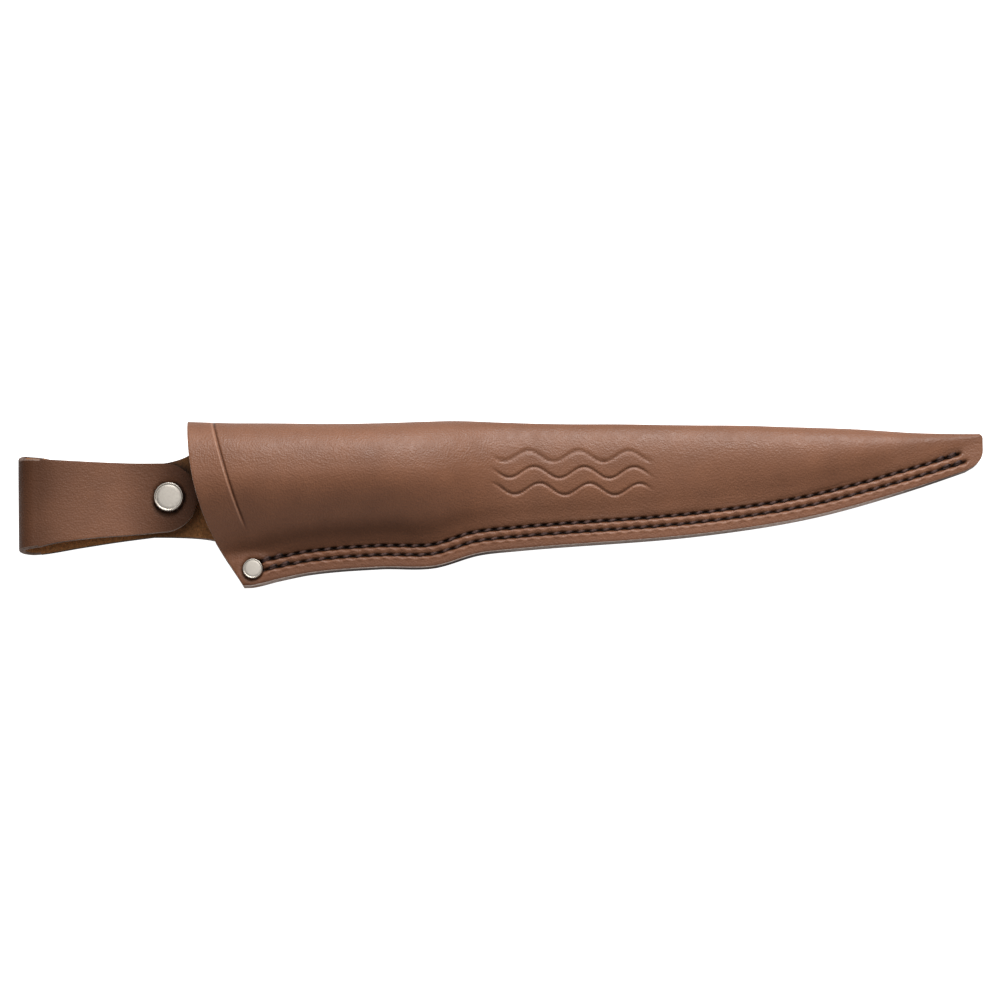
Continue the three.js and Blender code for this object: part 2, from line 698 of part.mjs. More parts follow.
const rivet = new THREE.Group();
rivet.name = 'rivet';
rivet.position.set(rivetX, rivetY, 0);
add(rivet, 'rivet_cap', rivetCap(), NICKEL);
add(rivet, 'rivet_post', rivetPost(), NICKEL);
sheath.add(rivet);

const studHalf = new THREE.Group();
studHalf.name = 'stud_half';
studHalf.position.set(SNAP_X, 0, 0);
add(studHalf, 'snap_stud', snapStud(), NICKEL);
add(studHalf, 'snap_post', snapPost(), NICKEL);
sheath.add(studHalf);

const loop = new THREE.Group();
loop.name = 'belt_loop';
add(loop, 'belt_fold', beltFold(), GRAIN);
add(loop, 'belt_flap', beltFlap(), GRAIN);

const capHalf = new THREE.Group();
capHalf.name = 'cap_half';
capHalf.position.set(SNAP_X, 0, 0);
add(capHalf, 'snap_cap', snapCap(), NICKEL);
add(capHalf, 'snap_socket', snapSocket(), NICKEL);
add(capHalf, 'snap_spring', snapSpring(), NICKEL);
loop.add(capHalf);

// The frame stands at the middle of the underside.
const placed = new THREE.Group();
placed.name = 'placed';
placed.add(sheath, loop);
const box = new THREE.Box3().setFromObject(placed);
const middle = box.getCenter(new THREE.Vector3());
placed.position.set(-middle.x, -middle.y, -box.min.z);

const part = new THREE.Group();
part.name = 'knife_sheath';
part.add(placed);

export default part;
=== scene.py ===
"""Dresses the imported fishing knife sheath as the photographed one, on a pale floor.

Sizes are in millimetres in the sheath's own axes: x from the mouth to the tip, y up from the middle of
the belt strap to the folded spine, z out of the front panel. SheathAxes turns them into the frame.
"""

from __future__ import annotations

import logging
import math
from dataclasses import dataclass, field
from enum import Enum, auto
from typing import Callable, Iterable, Sequence

import bmesh
import bpy
import numpy as np
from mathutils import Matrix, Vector

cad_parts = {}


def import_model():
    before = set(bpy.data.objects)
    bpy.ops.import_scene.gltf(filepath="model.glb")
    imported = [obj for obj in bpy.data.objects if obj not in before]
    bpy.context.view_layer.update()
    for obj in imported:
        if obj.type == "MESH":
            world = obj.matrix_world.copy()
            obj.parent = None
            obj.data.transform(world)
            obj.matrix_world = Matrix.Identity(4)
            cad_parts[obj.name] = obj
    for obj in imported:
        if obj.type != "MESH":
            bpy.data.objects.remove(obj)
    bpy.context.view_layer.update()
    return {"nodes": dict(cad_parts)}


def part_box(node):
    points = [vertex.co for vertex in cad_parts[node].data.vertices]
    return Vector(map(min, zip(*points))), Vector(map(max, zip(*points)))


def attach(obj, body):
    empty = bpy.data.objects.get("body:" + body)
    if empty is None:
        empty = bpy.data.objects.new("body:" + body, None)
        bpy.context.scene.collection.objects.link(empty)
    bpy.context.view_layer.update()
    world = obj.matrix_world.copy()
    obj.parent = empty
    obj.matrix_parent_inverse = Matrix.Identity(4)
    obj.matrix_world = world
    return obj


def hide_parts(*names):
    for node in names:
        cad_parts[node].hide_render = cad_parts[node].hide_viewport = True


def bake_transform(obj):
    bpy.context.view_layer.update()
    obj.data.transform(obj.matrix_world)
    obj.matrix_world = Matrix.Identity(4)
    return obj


MM = 0.001
WELD = 0.002 * MM
JOIN_SLACK = 0.05 * MM
CURVE_POINTS = 24
RUN_POINTS = 600
LOG = logging.getLogger("sheath")


def linear(hex_colour: str) -> tuple[float, float, float, float]:
    """Turns an sRGB hex colour into linear light.

    Args:
        hex_colour: Six hex digits.

    Returns:
        Linear red, green, blue and an alpha of one.
    """
    values = [int(hex_colour[k : k + 2], 16) / 255 for k in (0, 2, 4)]
    rgb = [v / 12.92 if v <= 0.04045 else ((v + 0.055) / 1.055) ** 2.4 for v in values]
    return (rgb[0], rgb[1], rgb[2], 1.0)


def smoothstep(x: np.ndarray, low: float, high: float) -> np.ndarray:
    """Rises smoothly from 0 at low to 1 at high."""
    t = np.clip((x - low) / (high - low), 0.0, 1.0)
    return t * t * (3 - 2 * t)


def bell(distance: np.ndarray, width: float) -> np.ndarray:
    """A bump of height 1 that fades over about width."""
    return np.exp(-((distance / width) ** 2))


class Line:
    """A smooth line through given (x, value) points."""

    def __init__(self, *points: tuple[float, float]) -> None:
        """Keeps the points and works out the slope at each.

        Args:
            points: Pairs of x and value, in order of x.
        """
        self.x = np.array([p[0] for p in points], float)
        self.value = np.array([p[1] for p in points], float)
        secant = np.diff(self.value) / np.diff(self.x)
        self.slope = np.concatenate([secant[:1], (secant[:-1] + secant[1:]) / 2, secant[-1:]])

    def __call__(self, x: np.ndarray) -> np.ndarray:
        """Gives the line's value at each x.

        Args:
            x: Places along the line.

        Returns:
            One value for each place.
        """
        x = np.clip(np.asarray(x, float), self.x[0], self.x[-1])
        k = np.clip(np.searchsorted(self.x, x) - 1, 0, len(self.x) - 2)
        width = self.x[k + 1] - self.x[k]
        t = (x - self.x[k]) / width
        rise = t * t * (3 - 2 * t)
        start = t * (1 - t) ** 2 * width * self.slope[k]
        stop = t * t * (t - 1) * width * self.slope[k + 1]
        return self.value[k] * (1 - rise) + self.value[k + 1] * rise + start + stop


@dataclass(frozen=True)
class SheathAxes:
    """Where the sheath's own axes lie in the frame, in metres."""

    x: float
    y: float

    @classmethod
    def from_frame(cls, snap_x: float) -> "SheathAxes":
        """Finds the axes from the press stud, snap_x from the mouth on the strap's middle line."""
        low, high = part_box("snap_cap")
        return cls((low[0] + high[0]) / 2 - snap_x * MM, (low[1] + high[1]) / 2)

    def place(self, point: Sequence[float]) -> Vector:
        """Turns a point in millimetres into a place in the frame."""
        return Vector((point[0] * MM + self.x, point[1] * MM + self.y, point[2] * MM))


class Zone(Enum):
    """Stretches of the folded section, from the front cut edge round to the back one."""

    FRONT_FLANGE = auto()
    FRONT_RISE = auto()
    FRONT_TURN = auto()
    BACK_TURN = auto()
    BACK_FLAT = auto()
    BACK_RISE = auto()
    BACK_FLANGE = auto()


@dataclass(frozen=True)
class SheathForm:
    """The sheath's lines and section, as the solids have them."""

    leather: float = 2.2
    welt: float = 2.5
    welt_skived: float = 0.5
    skive_from: float = 31.0
    skive_to: float = 5.0
    length: float = 271.0
    handle: float = 84.0
    shoulder: float = 22.0
    rake: float = math.radians(32.4)
    mouth_bend: float = 17.0
    mouth_lean: float = math.radians(3.4)
    corner_depth: float = 30.3
    seam_width: float = 8.4
    corner_flat: float = 3.0
    corner_fade: float = 13.6
    rivet_in: float = 3.2
    rivet_up: float = 5.7
    seam_lift: float = 2.0
    blade_lift: float = 1.2
    crown_share: float = 0.58
    nose_share: float = 0.5
    flat_share: float = 0.36
    turn_share: float = 0.19
    rise_power: float = 1.3
    outer_row: float = 4.1
    row_gap: float = 3.1
    row_start: float = 26.2
    row_stop: float = 264.2
    row_drift: float = 1.2
    inner_lead: float = 1.4
    inner_short: float = 2.0
    outer_lag: float = 0.8
    pitch: float = 4.25
    point: float = 59.0
    tip_round: float = 2.2
    tip_sweep: float = 8.0
    spine_mouth: float = 25.6
    bend_radius: float = 5.8
    join: float = 1.5
    strap_reach: float = 57.5
    neck_x: float = -12.0
    neck_half: float = 12.6
    snap_x: float = -6.4
    snap_gap: float = 4.2
    snap_flat: float = 6.05
    flap_end: float = 9.6
    flap_half: float = 11.8

    @property
    def corner(self) -> tuple[float, float]:
        """The sewn corner of the mouth."""
        return (self.corner_depth * math.tan(self.rake), -self.corner_depth)

    @property
    def blade_start(self) -> float:
        """Where the handle's shoulder ends."""
        return self.handle + self.shoulder

    @property
    def bend_x(self) -> float:
        """Middle of the belt fold's arc."""
        return self.bend_radius - self.strap_reach

    @property
    def join_x(self) -> float:
        """Where the belt fold's leather meets the strap's back layer and the flap."""
        return self.bend_x + self.join

    def along_blade(self, share: float) -> float:
        """A place along the blade pocket as a share of its length."""
        return self.blade_start + (self.length - self.blade_start) * share

    def fold_line(self, x: np.ndarray) -> np.ndarray:
        """Height of the folded spine.

        Args:
            x: Places along the sheath.

        Returns:
            A height for each place.
        """
        return Line(
            (-3, self.spine_mouth),
            (self.mouth_bend, 25.0),
            (self.handle * 0.8, 25.0),
            (self.handle * 1.1, 26.45),
            (self.blade_start + self.shoulder * 0.6, 26.0),
            (self.along_blade(0.42), 25.5),
            (self.along_blade(0.72), 24.3),
            (self.along_blade(0.86), 23.1),
            (self.length + 3, 22.9),
        )(x)

    def cut_edge(self, x: np.ndarray) -> np.ndarray:
        """Height of the sewn cut edge.

        Args:
            x: Places along the sheath.

        Returns:
            A height for each place.
        """
        x0, y0 = self.corner
        return Line(
            (-3, y0 - 4.8),
            (x0, y0),
            (x0 + self.corner_flat, y0 + 0.15),
            (x0 + 4 * self.corner_flat, y0 + 2.35),
            (self.handle * 0.5, y0 + 4.55),
            (self.handle * 0.78, y0 + 6.5),
            (self.handle, y0 + 6.9),
            (self.blade_start - self.shoulder * 0.32, y0 + 11.25),
            (self.blade_start + self.shoulder * 0.27, y0 + 12.8),
            (self.along_blade(0.42), -12.2),
            (self.length - self.point, -6.3),
            (self.length - self.point * 0.47, 2.35),
            (self.length + 3, 12.9),
        )(x)

    def crown(self, x: np.ndarray) -> np.ndarray:
        """Height of the front panel over the table.

        Args:
            x: Places along the sheath.

        Returns:
            A height for each place.
        """
        return Line(
            (-3, 23.0),
            (self.handle * 0.5, 24.0),
            (self.handle - 6, 22.0),
            (self.blade_start, 13.0),
            (self.blade_start + 18, 11.5),
            (self.along_blade(0.75), 10.5),
            (self.length - self.point * 0.22, 7.0),
            (self.length - 6, 6.3),
            (self.length + 3, self.blade_lift + 2 * self.leather + self.welt_skived + 0.1),
        )(x)

    def seam_back(self, x: np.ndarray) -> np.ndarray:
        """Height of the sewn edge's back face.

        Args:
            x: Places along the sheath.

        Returns:
            A height for each place.
        """
        lift = self.seam_lift * smoothstep(x, 1, self.corner[0] - 1)
        drop = smoothstep(x, self.handle, self.blade_start + self.shoulder)
        return lift + (self.blade_lift - self.seam_lift) * drop

    def seam_front(self, x: np.ndarray) -> np.ndarray:
        """Height of the sewn edge's front face.

        Args:
            x: Places along the sheath.

        Returns:
            A height for each place.
        """
        skive = smoothstep(x, self.length - self.skive_from, self.length - self.skive_to)
        welt = self.welt + (self.welt_skived - self.welt) * skive
        return self.seam_back(x) + 2 * self.leather + welt

    def edge_climb(self, x: np.ndarray) -> np.ndarray:
        """How much longer a line along the cut edge is than its run along x."""
        return np.hypot(1.0, self.cut_edge(x + 0.5) - self.cut_edge(x - 0.5))

    def above_edge(self, x: np.ndarray, distance: float | np.ndarray) -> np.ndarray:
        """Height of a line that keeps its distance from the cut edge."""
        return self.cut_edge(x) + distance * self.edge_climb(x)

    def rivet_distance(self, x: np.ndarray, y: np.ndarray) -> np.ndarray:
        """Distance from the middle of the rivet, seen from the front."""
        return np.hypot(x - self.corner[0] - self.rivet_in, y - self.corner[1] - self.rivet_up)

    def foot(self, x: np.ndarray) -> np.ndarray:
        """Where the front panel rises from the sewn edge."""
        flat = 1 - smoothstep(x, self.corner[0], self.corner[0] + self.corner_fade)
        return self.row_height(x, self.seam_width + self.corner_flat * flat)

    def mouth_x(self, y: np.ndarray) -> np.ndarray:
        """Place of the mouth's edge at a height.

        Args:
            y: Heights up from the middle of the strap.

        Returns:
            A place along the sheath for each height.
        """
        steep, lean = math.tan(self.rake), math.tan(self.mouth_lean)
        turn_y = self.spine_mouth * lean / (lean - steep)
        square = self.spine_mouth - 2 * turn_y - self.mouth_bend
        fall = 2 * (self.spine_mouth - turn_y)
        root = np.sqrt(np.maximum(fall * fall - 4 * square * (self.spine_mouth - y), 0.0))
        t = np.clip(2 * (self.spine_mouth - y) / (fall + root), 0.0, 1.0)
        curved = -2 * t * (1 - t) * turn_y * steep + t * t * self.mouth_bend * steep
        return np.where(y < -self.mouth_bend, -y * steep, curved)

    def tip_x(self, y: np.ndarray) -> np.ndarray:
        """Place of the blunt, rounded tip at a height.

        Args:
            y: Heights up from the middle of the strap.

        Returns:
            A place along the sheath for each height.
        """
        sweep, t = self.tip_sweep, np.linspace(0, 1, CURVE_POINTS)
        curve_x = self.length - sweep * ((1 - t) ** 3 + 1.56 * t * (1 - t) ** 2)
        curve_y = sweep * (0.48 * t * (1 - t) ** 2 + 1.26 * t * t * (1 - t) + t**3)
        low = np.interp(y, self.cut_edge(self.length - sweep) + curve_y, curve_x)
        high = np.clip(1 - (self.fold_line(self.length) - y) / self.tip_round, 0.0, 1.0)
        return low - 0.5 * self.tip_round * high**2

    def row_height(self, x: np.ndarray, distance: float) -> np.ndarray:
        """Height of a stitching row, which drifts towards the cut edge near the tip."""
        share = np.clip((x - self.row_start) / (self.row_stop - self.row_start), 0, 1)
        return self.above_edge(x, distance - self.row_drift * share**6)

    def row_distance(self, inner: bool) -> float:
        """Distance of a stitching row from the cut edge."""
        return self.outer_row + (self.row_gap if inner else 0.0)

    def row_stitches(self, inner: bool) -> np.ndarray:
        """Places of the stitches along a row.

        Args:
            inner: Whether it is the row next to the pocket.

        Returns:
            The middle of each stitch.
        """
        start = self.row_start - self.inner_lead if inner else self.row_start + self.outer_lag
        stop = self.row_stop - self.inner_short if inner else self.row_stop
        x = np.linspace(start, stop, RUN_POINTS)
        run = np.concatenate([[0.0], np.cumsum(np.diff(x) * self.edge_climb(x[1:]))])
        count = round(run[-1] / self.pitch)
        return np.interp((np.arange(count) + 0.5) / count * run[-1], run, x)

    def section(self, x: np.ndarray, zone: Zone, s: float) -> tuple[np.ndarray, np.ndarray]:
        """A point on the outer face of the folded leather.

        Args:
            x: Places along the sheath.
            zone: Which stretch of the section.
            s: Share of the way along that stretch.

        Returns:
            Heights y and z at each place.
        """
        fold, foot, crown = self.fold_line(x), self.foot(x), self.crown(x)
        span = fold - foot
        crown_y, nose = foot + span * self.crown_share, crown * self.nose_share
        flat_low, flat_high = foot + span * self.flat_share, fold - span * self.turn_share
        front, back = self.seam_front(x), self.seam_back(x)
        turn = math.pi / 2 * s
        if zone is Zone.FRONT_FLANGE:
            return self.cut_edge(x) * (1 - s) + foot * s, front
        if zone is Zone.FRONT_RISE:
            return foot + (crown_y - foot) * s, front + (crown - front) * math.sin(turn) ** self.rise_power
        if zone is Zone.FRONT_TURN:
            return crown_y + (fold - crown_y) * math.sin(turn), nose + (crown - nose) * math.cos(turn)
        if zone is Zone.BACK_TURN:
            return flat_high + (fold - flat_high) * math.cos(turn), nose * (1 - math.sin(turn))
        if zone is Zone.BACK_FLAT:
            return flat_high + (flat_low - flat_high) * s, nose * 0
        if zone is Zone.BACK_RISE:
            return flat_low + (foot - flat_low) * s, back * (0.5 - 0.5 * math.cos(math.pi * s))
        return foot * (1 - s) + self.cut_edge(x) * s, back

    def flap_top(self, x: np.ndarray) -> np.ndarray:
        """Height of the belt flap's face.

        Args:
            x: Places along the sheath.

        Returns:
            A height for each place.
        """
        low = self.leather + self.snap_gap
        drop = 2 * self.bend_radius - self.leather - low
        return self.leather + low + drop * (1 - smoothstep(x, self.bend_x, self.snap_x - self.snap_flat))


def per_mm(size: float) -> float:
    """The scale of a pattern whose marks are that many millimetres wide."""
    return 1 / (size * MM)


class Coat:
    """A principled material in the making."""

    def __init__(self, name: str) -> None:
        """Starts an empty material.

        Args:
            name: The material's name.
        """
        self.material = bpy.data.materials.new(name)
        self.material.use_nodes = True
        self.tree = self.material.node_tree

    def feed(self, node: bpy.types.Node, values: dict) -> None:
        """Sets or links the inputs of a node.

        Args:
            node: The node.
            values: Input name or number to a value, or to an output socket that feeds it.
        """
        for name, value in values.items():
            if isinstance(value, bpy.types.NodeSocket):
                self.tree.links.new(value, node.inputs[name])
            else:
                node.inputs[name].default_value = value

    def add(
        self, kind: str, values: dict | None = None, output: int | str = 0, **settings: object
    ) -> bpy.types.NodeSocket:
        """Adds a shader node with its settings and links.

        A Mix node has several inputs of one name, so its colours go by number: 6, 7 and output 2.

        Args:
            kind: The node's type, after its ShaderNode prefix.
            values: Its inputs, as feed takes them.
            output: Name or number of the output that is wanted.
            settings: Properties of the node.

        Returns:
            That output.
        """
        node = self.tree.nodes.new("ShaderNode" + kind)
        for name, value in settings.items():
            setattr(node, name, value)
        self.feed(node, values or {})
        return node.outputs[output]

    def finish(self, values: dict) -> bpy.types.Material:
        """Feeds the principled shader and hands over the material."""
        self.feed(self.tree.nodes["Principled BSDF"], values)
        return self.material


@dataclass(frozen=True)
class GrainLeather:
    """Oiled vegetable-tanned leather, grain side out, with the sizes of its marks in millimetres."""

    light: str = "976345"
    dark: str = "7f5239"
    # Painted shade colour for grooves, holes and shaded hollows
    pressed_and_shaded: str = "1a0b04"
    # Painted highlight colour for lit rims
    wear_and_highlight: str = "d6a68c"
    roughness: float = 0.46
    cloud: float = 9
    speck: float = 0.7
    gloss_patch: float = 3.5
    pore: float = 0.62
    pore_depth: float = 0.2
    wrinkle: float = 1.5
    wrinkle_depth: float = 0.22

    def build(self) -> bpy.types.Material:
        """Makes the material.

        Returns:
            The material.
        """
        coat = Coat("vegetable_tanned_grain")
        where = coat.add("TexCoord", output="Object")
        light, dark = linear(self.light), linear(self.dark)
        # Slow colour change of a dyed hide, then the fine speckle of its pores
        cloud = coat.add("TexNoise", {"Vector": where, "Scale": per_mm(self.cloud), "Detail": 5})
        cloudy = coat.add("MapRange", {"Value": cloud, "From Min": 0.1, "From Max": 0.9})
        hide = coat.add("Mix", {0: cloudy, 6: dark, 7: light}, 2, data_type="RGBA")
        fine = {"Vector": where, "Scale": per_mm(self.speck), "Detail": 3, "Roughness": 0.6}
        speck = coat.add("TexNoise", fine)
        speckled = coat.add("MapRange", {"Value": speck, "From Min": 0.35, "From Max": 0.75, "To Max": 0.55})
        hide = coat.add("Mix", {0: speckled, 6: hide, 7: dark}, 2, data_type="RGBA")
        # Painted shade darkens grooves, holes and shaded hollows and lowers their specular; painted highlight
        # lightens lit rims
        painted_shading = coat.add("Attribute", output="Fac", attribute_name="painted_shading")
        hide = coat.add("Mix", {0: painted_shading, 6: hide, 7: linear(self.pressed_and_shaded)}, 2, data_type="RGBA")
        rub_and_highlight = coat.add("MapRange", {"Value": painted_shading, "From Min": 0, "From Max": -1})
        hide = coat.add("Mix", {0: rub_and_highlight, 6: hide, 7: linear(self.wear_and_highlight)}, 2, data_type="RGBA")
        gloss_under_shade = {"Value": painted_shading, "From Max": 0.8, "To Min": 0.5, "To Max": 0.08}
        gloss = coat.add("MapRange", gloss_under_shade)
        # The oil has gone in unevenly, so the sheen is patchy
        patch = coat.add("TexNoise", {"Vector": where, "Scale": per_mm(self.gloss_patch), "Detail": 3})
        uneven = {"To Min": self.roughness - 0.05, "To Max": self.roughness + 0.07}
        rough = coat.add("MapRange", {"Value": patch, "From Min": 0.3, "From Max": 0.7, **uneven})
        # Pores, with softer wrinkles over them
        cells = {"Vector": where, "Scale": per_mm(self.pore), "Smoothness": 0.6}
        pores = coat.add("TexVoronoi", cells, "Distance", feature="SMOOTH_F1")
        folds = {"Vector": where, "Scale": per_mm(self.wrinkle), "Detail": 5, "Roughness": 0.6}
        wrinkle = coat.add("TexNoise", folds)
        bump = coat.add("Bump", {"Height": pores, "Strength": 0.55, "Distance": self.pore_depth * MM})
        wrinkled = {"Height": wrinkle, "Strength": 0.36, "Distance": self.wrinkle_depth * MM}
        bump = coat.add("Bump", {"Normal": bump, **wrinkled})
        look = {"Base Color": hide, "Specular IOR Level": gloss, "Roughness": rough, "Normal": bump}
        return coat.finish(look)


@dataclass(frozen=True)
class FleshLeather:
    """The split, napped inner side of the same leather."""

    light: str = "d0925a"
    dark: str = "80532f"
    # Painted shadow colour round the flap's end
    painted_shadow: str = "2c180b"
    nap: float = 1.1
    nap_depth: float = 0.3

    def build(self) -> bpy.types.Material:
        """Makes the material.

        Returns:
            The material.
        """
        coat = Coat("napped_flesh_side")
        where = coat.add("TexCoord", output="Object")
        light, dark = linear(self.light), linear(self.dark)
        # Split fibres stand up as a dull, mottled nap
        fibres = {"Vector": where, "Scale": per_mm(self.nap), "Detail": 5, "Roughness": 0.7}
        nap = coat.add("TexNoise", fibres)
        mottle = coat.add("MapRange", {"Value": nap, "From Min": 0.3, "From Max": 0.7})
        colour = coat.add("Mix", {0: mottle, 6: dark, 7: light}, 2, data_type="RGBA")
        # Painted shadow darkens the nap round the flap's end and along the strap's upper edge
        flap_shadow = coat.add("Attribute", output="Fac", attribute_name="painted_shadow")
        colour = coat.add("Mix", {0: flap_shadow, 6: colour, 7: linear(self.painted_shadow)}, 2, data_type="RGBA")
        bump = coat.add("Bump", {"Height": nap, "Strength": 0.6, "Distance": self.nap_depth * MM})
        sheen = {"Sheen Weight": 0.3, "Sheen Tint": light}
        return coat.finish({"Base Color": colour, "Roughness": 0.95, "Normal": bump, **sheen})


@dataclass(frozen=True)
class CutEdge:
    """A knife-cut leather edge, rubbed and lightly waxed."""

    name: str = "rubbed_cut_edge"
    light: str = "f2ddd1"
    dark: str = "b3968a"
    rub_and_highlight: str = "4c3427"
    wear: tuple[tuple[float, float], ...] = ()
    fibre: float = 1.6
    fibre_depth: float = 0.2
    stretch: float = 26
    worn_below: float = 6.5
    clean_above: float = 7.2

    def stretches(self, coat: Coat, where: bpy.types.NodeSocket) -> bpy.types.NodeSocket:
        """Longer dark stretches left by wax and wear.

        Args:
            coat: The material in the making.
            where: Object coordinates.

        Returns:
            A dark share, by place along the seam's lower layers where the wear is given.
        """
        if not self.wear:
            long = coat.add("TexNoise", {"Vector": where, "Scale": per_mm(self.stretch), "Detail": 2})
            return coat.add("MapRange", {"Value": long, "From Min": 0.46, "From Max": 0.6, "To Max": 0.8})
        place = coat.add("SeparateXYZ", {"Vector": where}).node.outputs
        first, last = self.wear[0][0], self.wear[-1][0]
        along = coat.add("MapRange", {"Value": place["X"], "From Min": first, "From Max": last})
        ramp = coat.add("ValToRGB", {"Fac": along}, "Color")
        stops = ramp.node.color_ramp.elements
        stops.remove(stops[1])
        for x, share in self.wear:
            stop = stops.new((x - first) / (last - first))
            stop.color = (share, share, share, 1.0)
        stops.remove(stops[0])
        layers = {"From Min": self.clean_above * MM, "From Max": self.worn_below * MM}
        lower = coat.add("MapRange", {"Value": place["Z"], **layers})
        return coat.add("Mix", {0: lower, 6: linear("000000"), 7: ramp}, 2, data_type="RGBA")

    def build(self) -> bpy.types.Material:
        """Makes the material.

        Returns:
            The material.
        """
        coat = Coat(self.name)
        where = coat.add("TexCoord", output="Object")
        light, dark = linear(self.light), linear(self.dark)
        # Cut fibres give a pale, streaky edge that wax darkens in stretches
        streaks = {"Vector": where, "Scale": per_mm(self.fibre), "Detail": 4, "Roughness": 0.6}
        fibre = coat.add("TexNoise", streaks)
        fibre = coat.add("MapRange", {"Value": fibre, "From Min": 0.35, "From Max": 0.7})
        colour = coat.add("Mix", {0: fibre, 6: dark, 7: light}, 2, data_type="RGBA")
        wear_and_highlight = self.stretches(coat, where)
        colour = coat.add("Mix", {0: wear_and_highlight, 6: colour, 7: linear(self.rub_and_highlight)}, 2, data_type="RGBA")
        bump = coat.add("Bump", {"Height": fibre, "Strength": 0.4, "Distance": self.fibre_depth * MM})
        return coat.finish({"Base Color": colour, "Roughness": 0.6, "Normal": bump})


@dataclass(frozen=True)
class WaxedThread:
    """Dark waxed sewing thread."""

    light: str = "654a43"
    dark: str = "33221e"
    # Painted shade colour where the thread goes into its holes
    pressed_and_shaded: str = "0b0605"
    fibre: float = 0.6

    def build(self) -> bpy.types.Material:
        """Makes the material.

        Returns:
            The material.
        """
        coat = Coat("waxed_twisted_thread")
        where = coat.add("TexCoord", output="Object")
        light, dark = linear(self.light), linear(self.dark)
        # Wax leaves a dull sheen on the plies
        fibre = coat.add("TexNoise", {"Vector": where, "Scale": per_mm(self.fibre), "Detail": 3})
        fibre = coat.add("MapRange", {"Value": fibre, "From Min": 0.3, "From Max": 0.7})
        colour = coat.add("Mix", {0: fibre, 6: dark, 7: light}, 2, data_type="RGBA")
        # Painted shade: the thread is darkest where it goes into its holes
        sunk = coat.add("Attribute", output="Fac", attribute_name="painted_shading")
        colour = coat.add("Mix", {0: sunk, 6: colour, 7: linear(self.pressed_and_shaded)}, 2, data_type="RGBA")
        return coat.finish({"Base Color": colour, "Roughness": 0.68, "Specular IOR Level": 0.3})


@dataclass(frozen=True)
class NickelPlate:
    """Nickel plate on pressed brass, slightly rubbed."""

    colour: str = "d3cbc0"
    roughness: float = 0.34
    rub: float = 0.8
    rub_depth: float = 0.1

    def build(self) -> bpy.types.Material:
        """Makes the material.

        Returns:
            The material.
        """
        coat = Coat("rubbed_nickel_plate")
        where = coat.add("TexCoord", output="Object")
        # A warm bright metal, with fine rubbing that softens its reflections
        marks = {"Vector": where, "Scale": per_mm(self.rub), "Detail": 4, "Roughness": 0.6}
        rub = coat.add("TexNoise", marks)
        soft = {"To Min": self.roughness - 0.06, "To Max": self.roughness + 0.1}
        rough = coat.add("MapRange", {"Value": rub, "From Min": 0.3, "From Max": 0.7, **soft})
        bump = coat.add("Bump", {"Height": rub, "Strength": 0.1, "Distance": self.rub_depth * MM})
        look = {"Base Color": linear(self.colour), "Metallic": 1.0, "Roughness": rough, "Normal": bump}
        return coat.finish(look)


class Looks:
    """All the finishes, made once."""

    # Millimetres from the mouth, and how dark the sewn edge's lower layers are worn there
    SEWN_WEAR = (
        *((-1, 0.8), (9, 0.45), (19, 0.3), (32, 0.35), (42, 0.75), (52, 0.9), (90, 0.97), (103, 0.85)),
        *((112, 0.45), (150, 0.5), (185, 0.45), (200, 0.05), (232, 0.05), (246, 0.7), (258, 0.8), (268, 0.5)),
    )

    def __init__(self, axes: SheathAxes) -> None:
        """Builds each material.

        Args:
            axes: The sheath's axes in the frame.
        """
        wear = tuple((axes.x + x * MM, share) for x, share in self.SEWN_WEAR)
        self.grain = GrainLeather().build()
        self.flesh = FleshLeather().build()
        self.edge = CutEdge(rub_and_highlight="2a150c", wear=wear).build()
        self.strap_edge = CutEdge(name="strap_cut_edge", light="a68b7b", dark="6d5142").build()
        self.back_edge = CutEdge(name="back_layer_cut_edge", light="6a4c3a", dark="3d291d").build()
        welt = CutEdge(name="welt_cut_edge", light="eed8cb", dark="bda293", rub_and_highlight="2a150c", wear=wear)
        self.welt = welt.build()
        self.thread = WaxedThread().build()
        self.nickel = NickelPlate().build()


def grid_sheet(mesh: bmesh.types.BMesh, points: np.ndarray, axes: SheathAxes) -> None:
    """Lays a grid and moves its corners to the given points.

    Args:
        mesh: The mesh to add to.
        points: Rows and columns of points in millimetres.
        axes: The sheath's axes in the frame.
    """
    rows, columns = points.shape[0] - 1, points.shape[1] - 1
    made = bmesh.ops.create_grid(mesh, x_segments=rows, y_segments=columns, size=1.0)
    for vert in made["verts"]:
        row = round((vert.co.x + 1) / 2 * rows)
        column = round((vert.co.y + 1) / 2 * columns)
        vert.co = axes.place(points[row, column])


def face_up(mesh: bmesh.types.BMesh) -> None:
    """Turns all the faces over where the highest one looks down.

    Args:
        mesh: The mesh, with its normals known.
    """
    highest = max(mesh.faces, key=lambda face: face.calc_center_median().z)
    if highest.normal.z < 0:
        bmesh.ops.reverse_faces(mesh, faces=mesh.faces[:])


def finish_object(
    mesh: bmesh.types.BMesh, name: str, materials: Iterable[bpy.types.Material], smooth: bool = True
) -> bpy.types.Object:
    """Turns a mesh into an object in the scene.

    Args:
        mesh: The finished mesh, which is freed.
        name: The object's name.
        materials: Its material slots in order.
        smooth: Whether its faces are shaded smooth.

    Returns:
        The object.
    """
    data = bpy.data.meshes.new(name)
    for face in mesh.faces:
        face.smooth = smooth
    mesh.to_mesh(data)
    mesh.free()
    for material in materials:
        data.materials.append(material)
    piece = bpy.data.objects.new(name, data)
    bpy.context.scene.collection.objects.link(piece)
    return piece


class LeatherSide(Enum):
    """Material slots of a piece of leather."""

    GRAIN = 0
    FLESH = 1
    EDGE = 2
    BACK_EDGE = 3


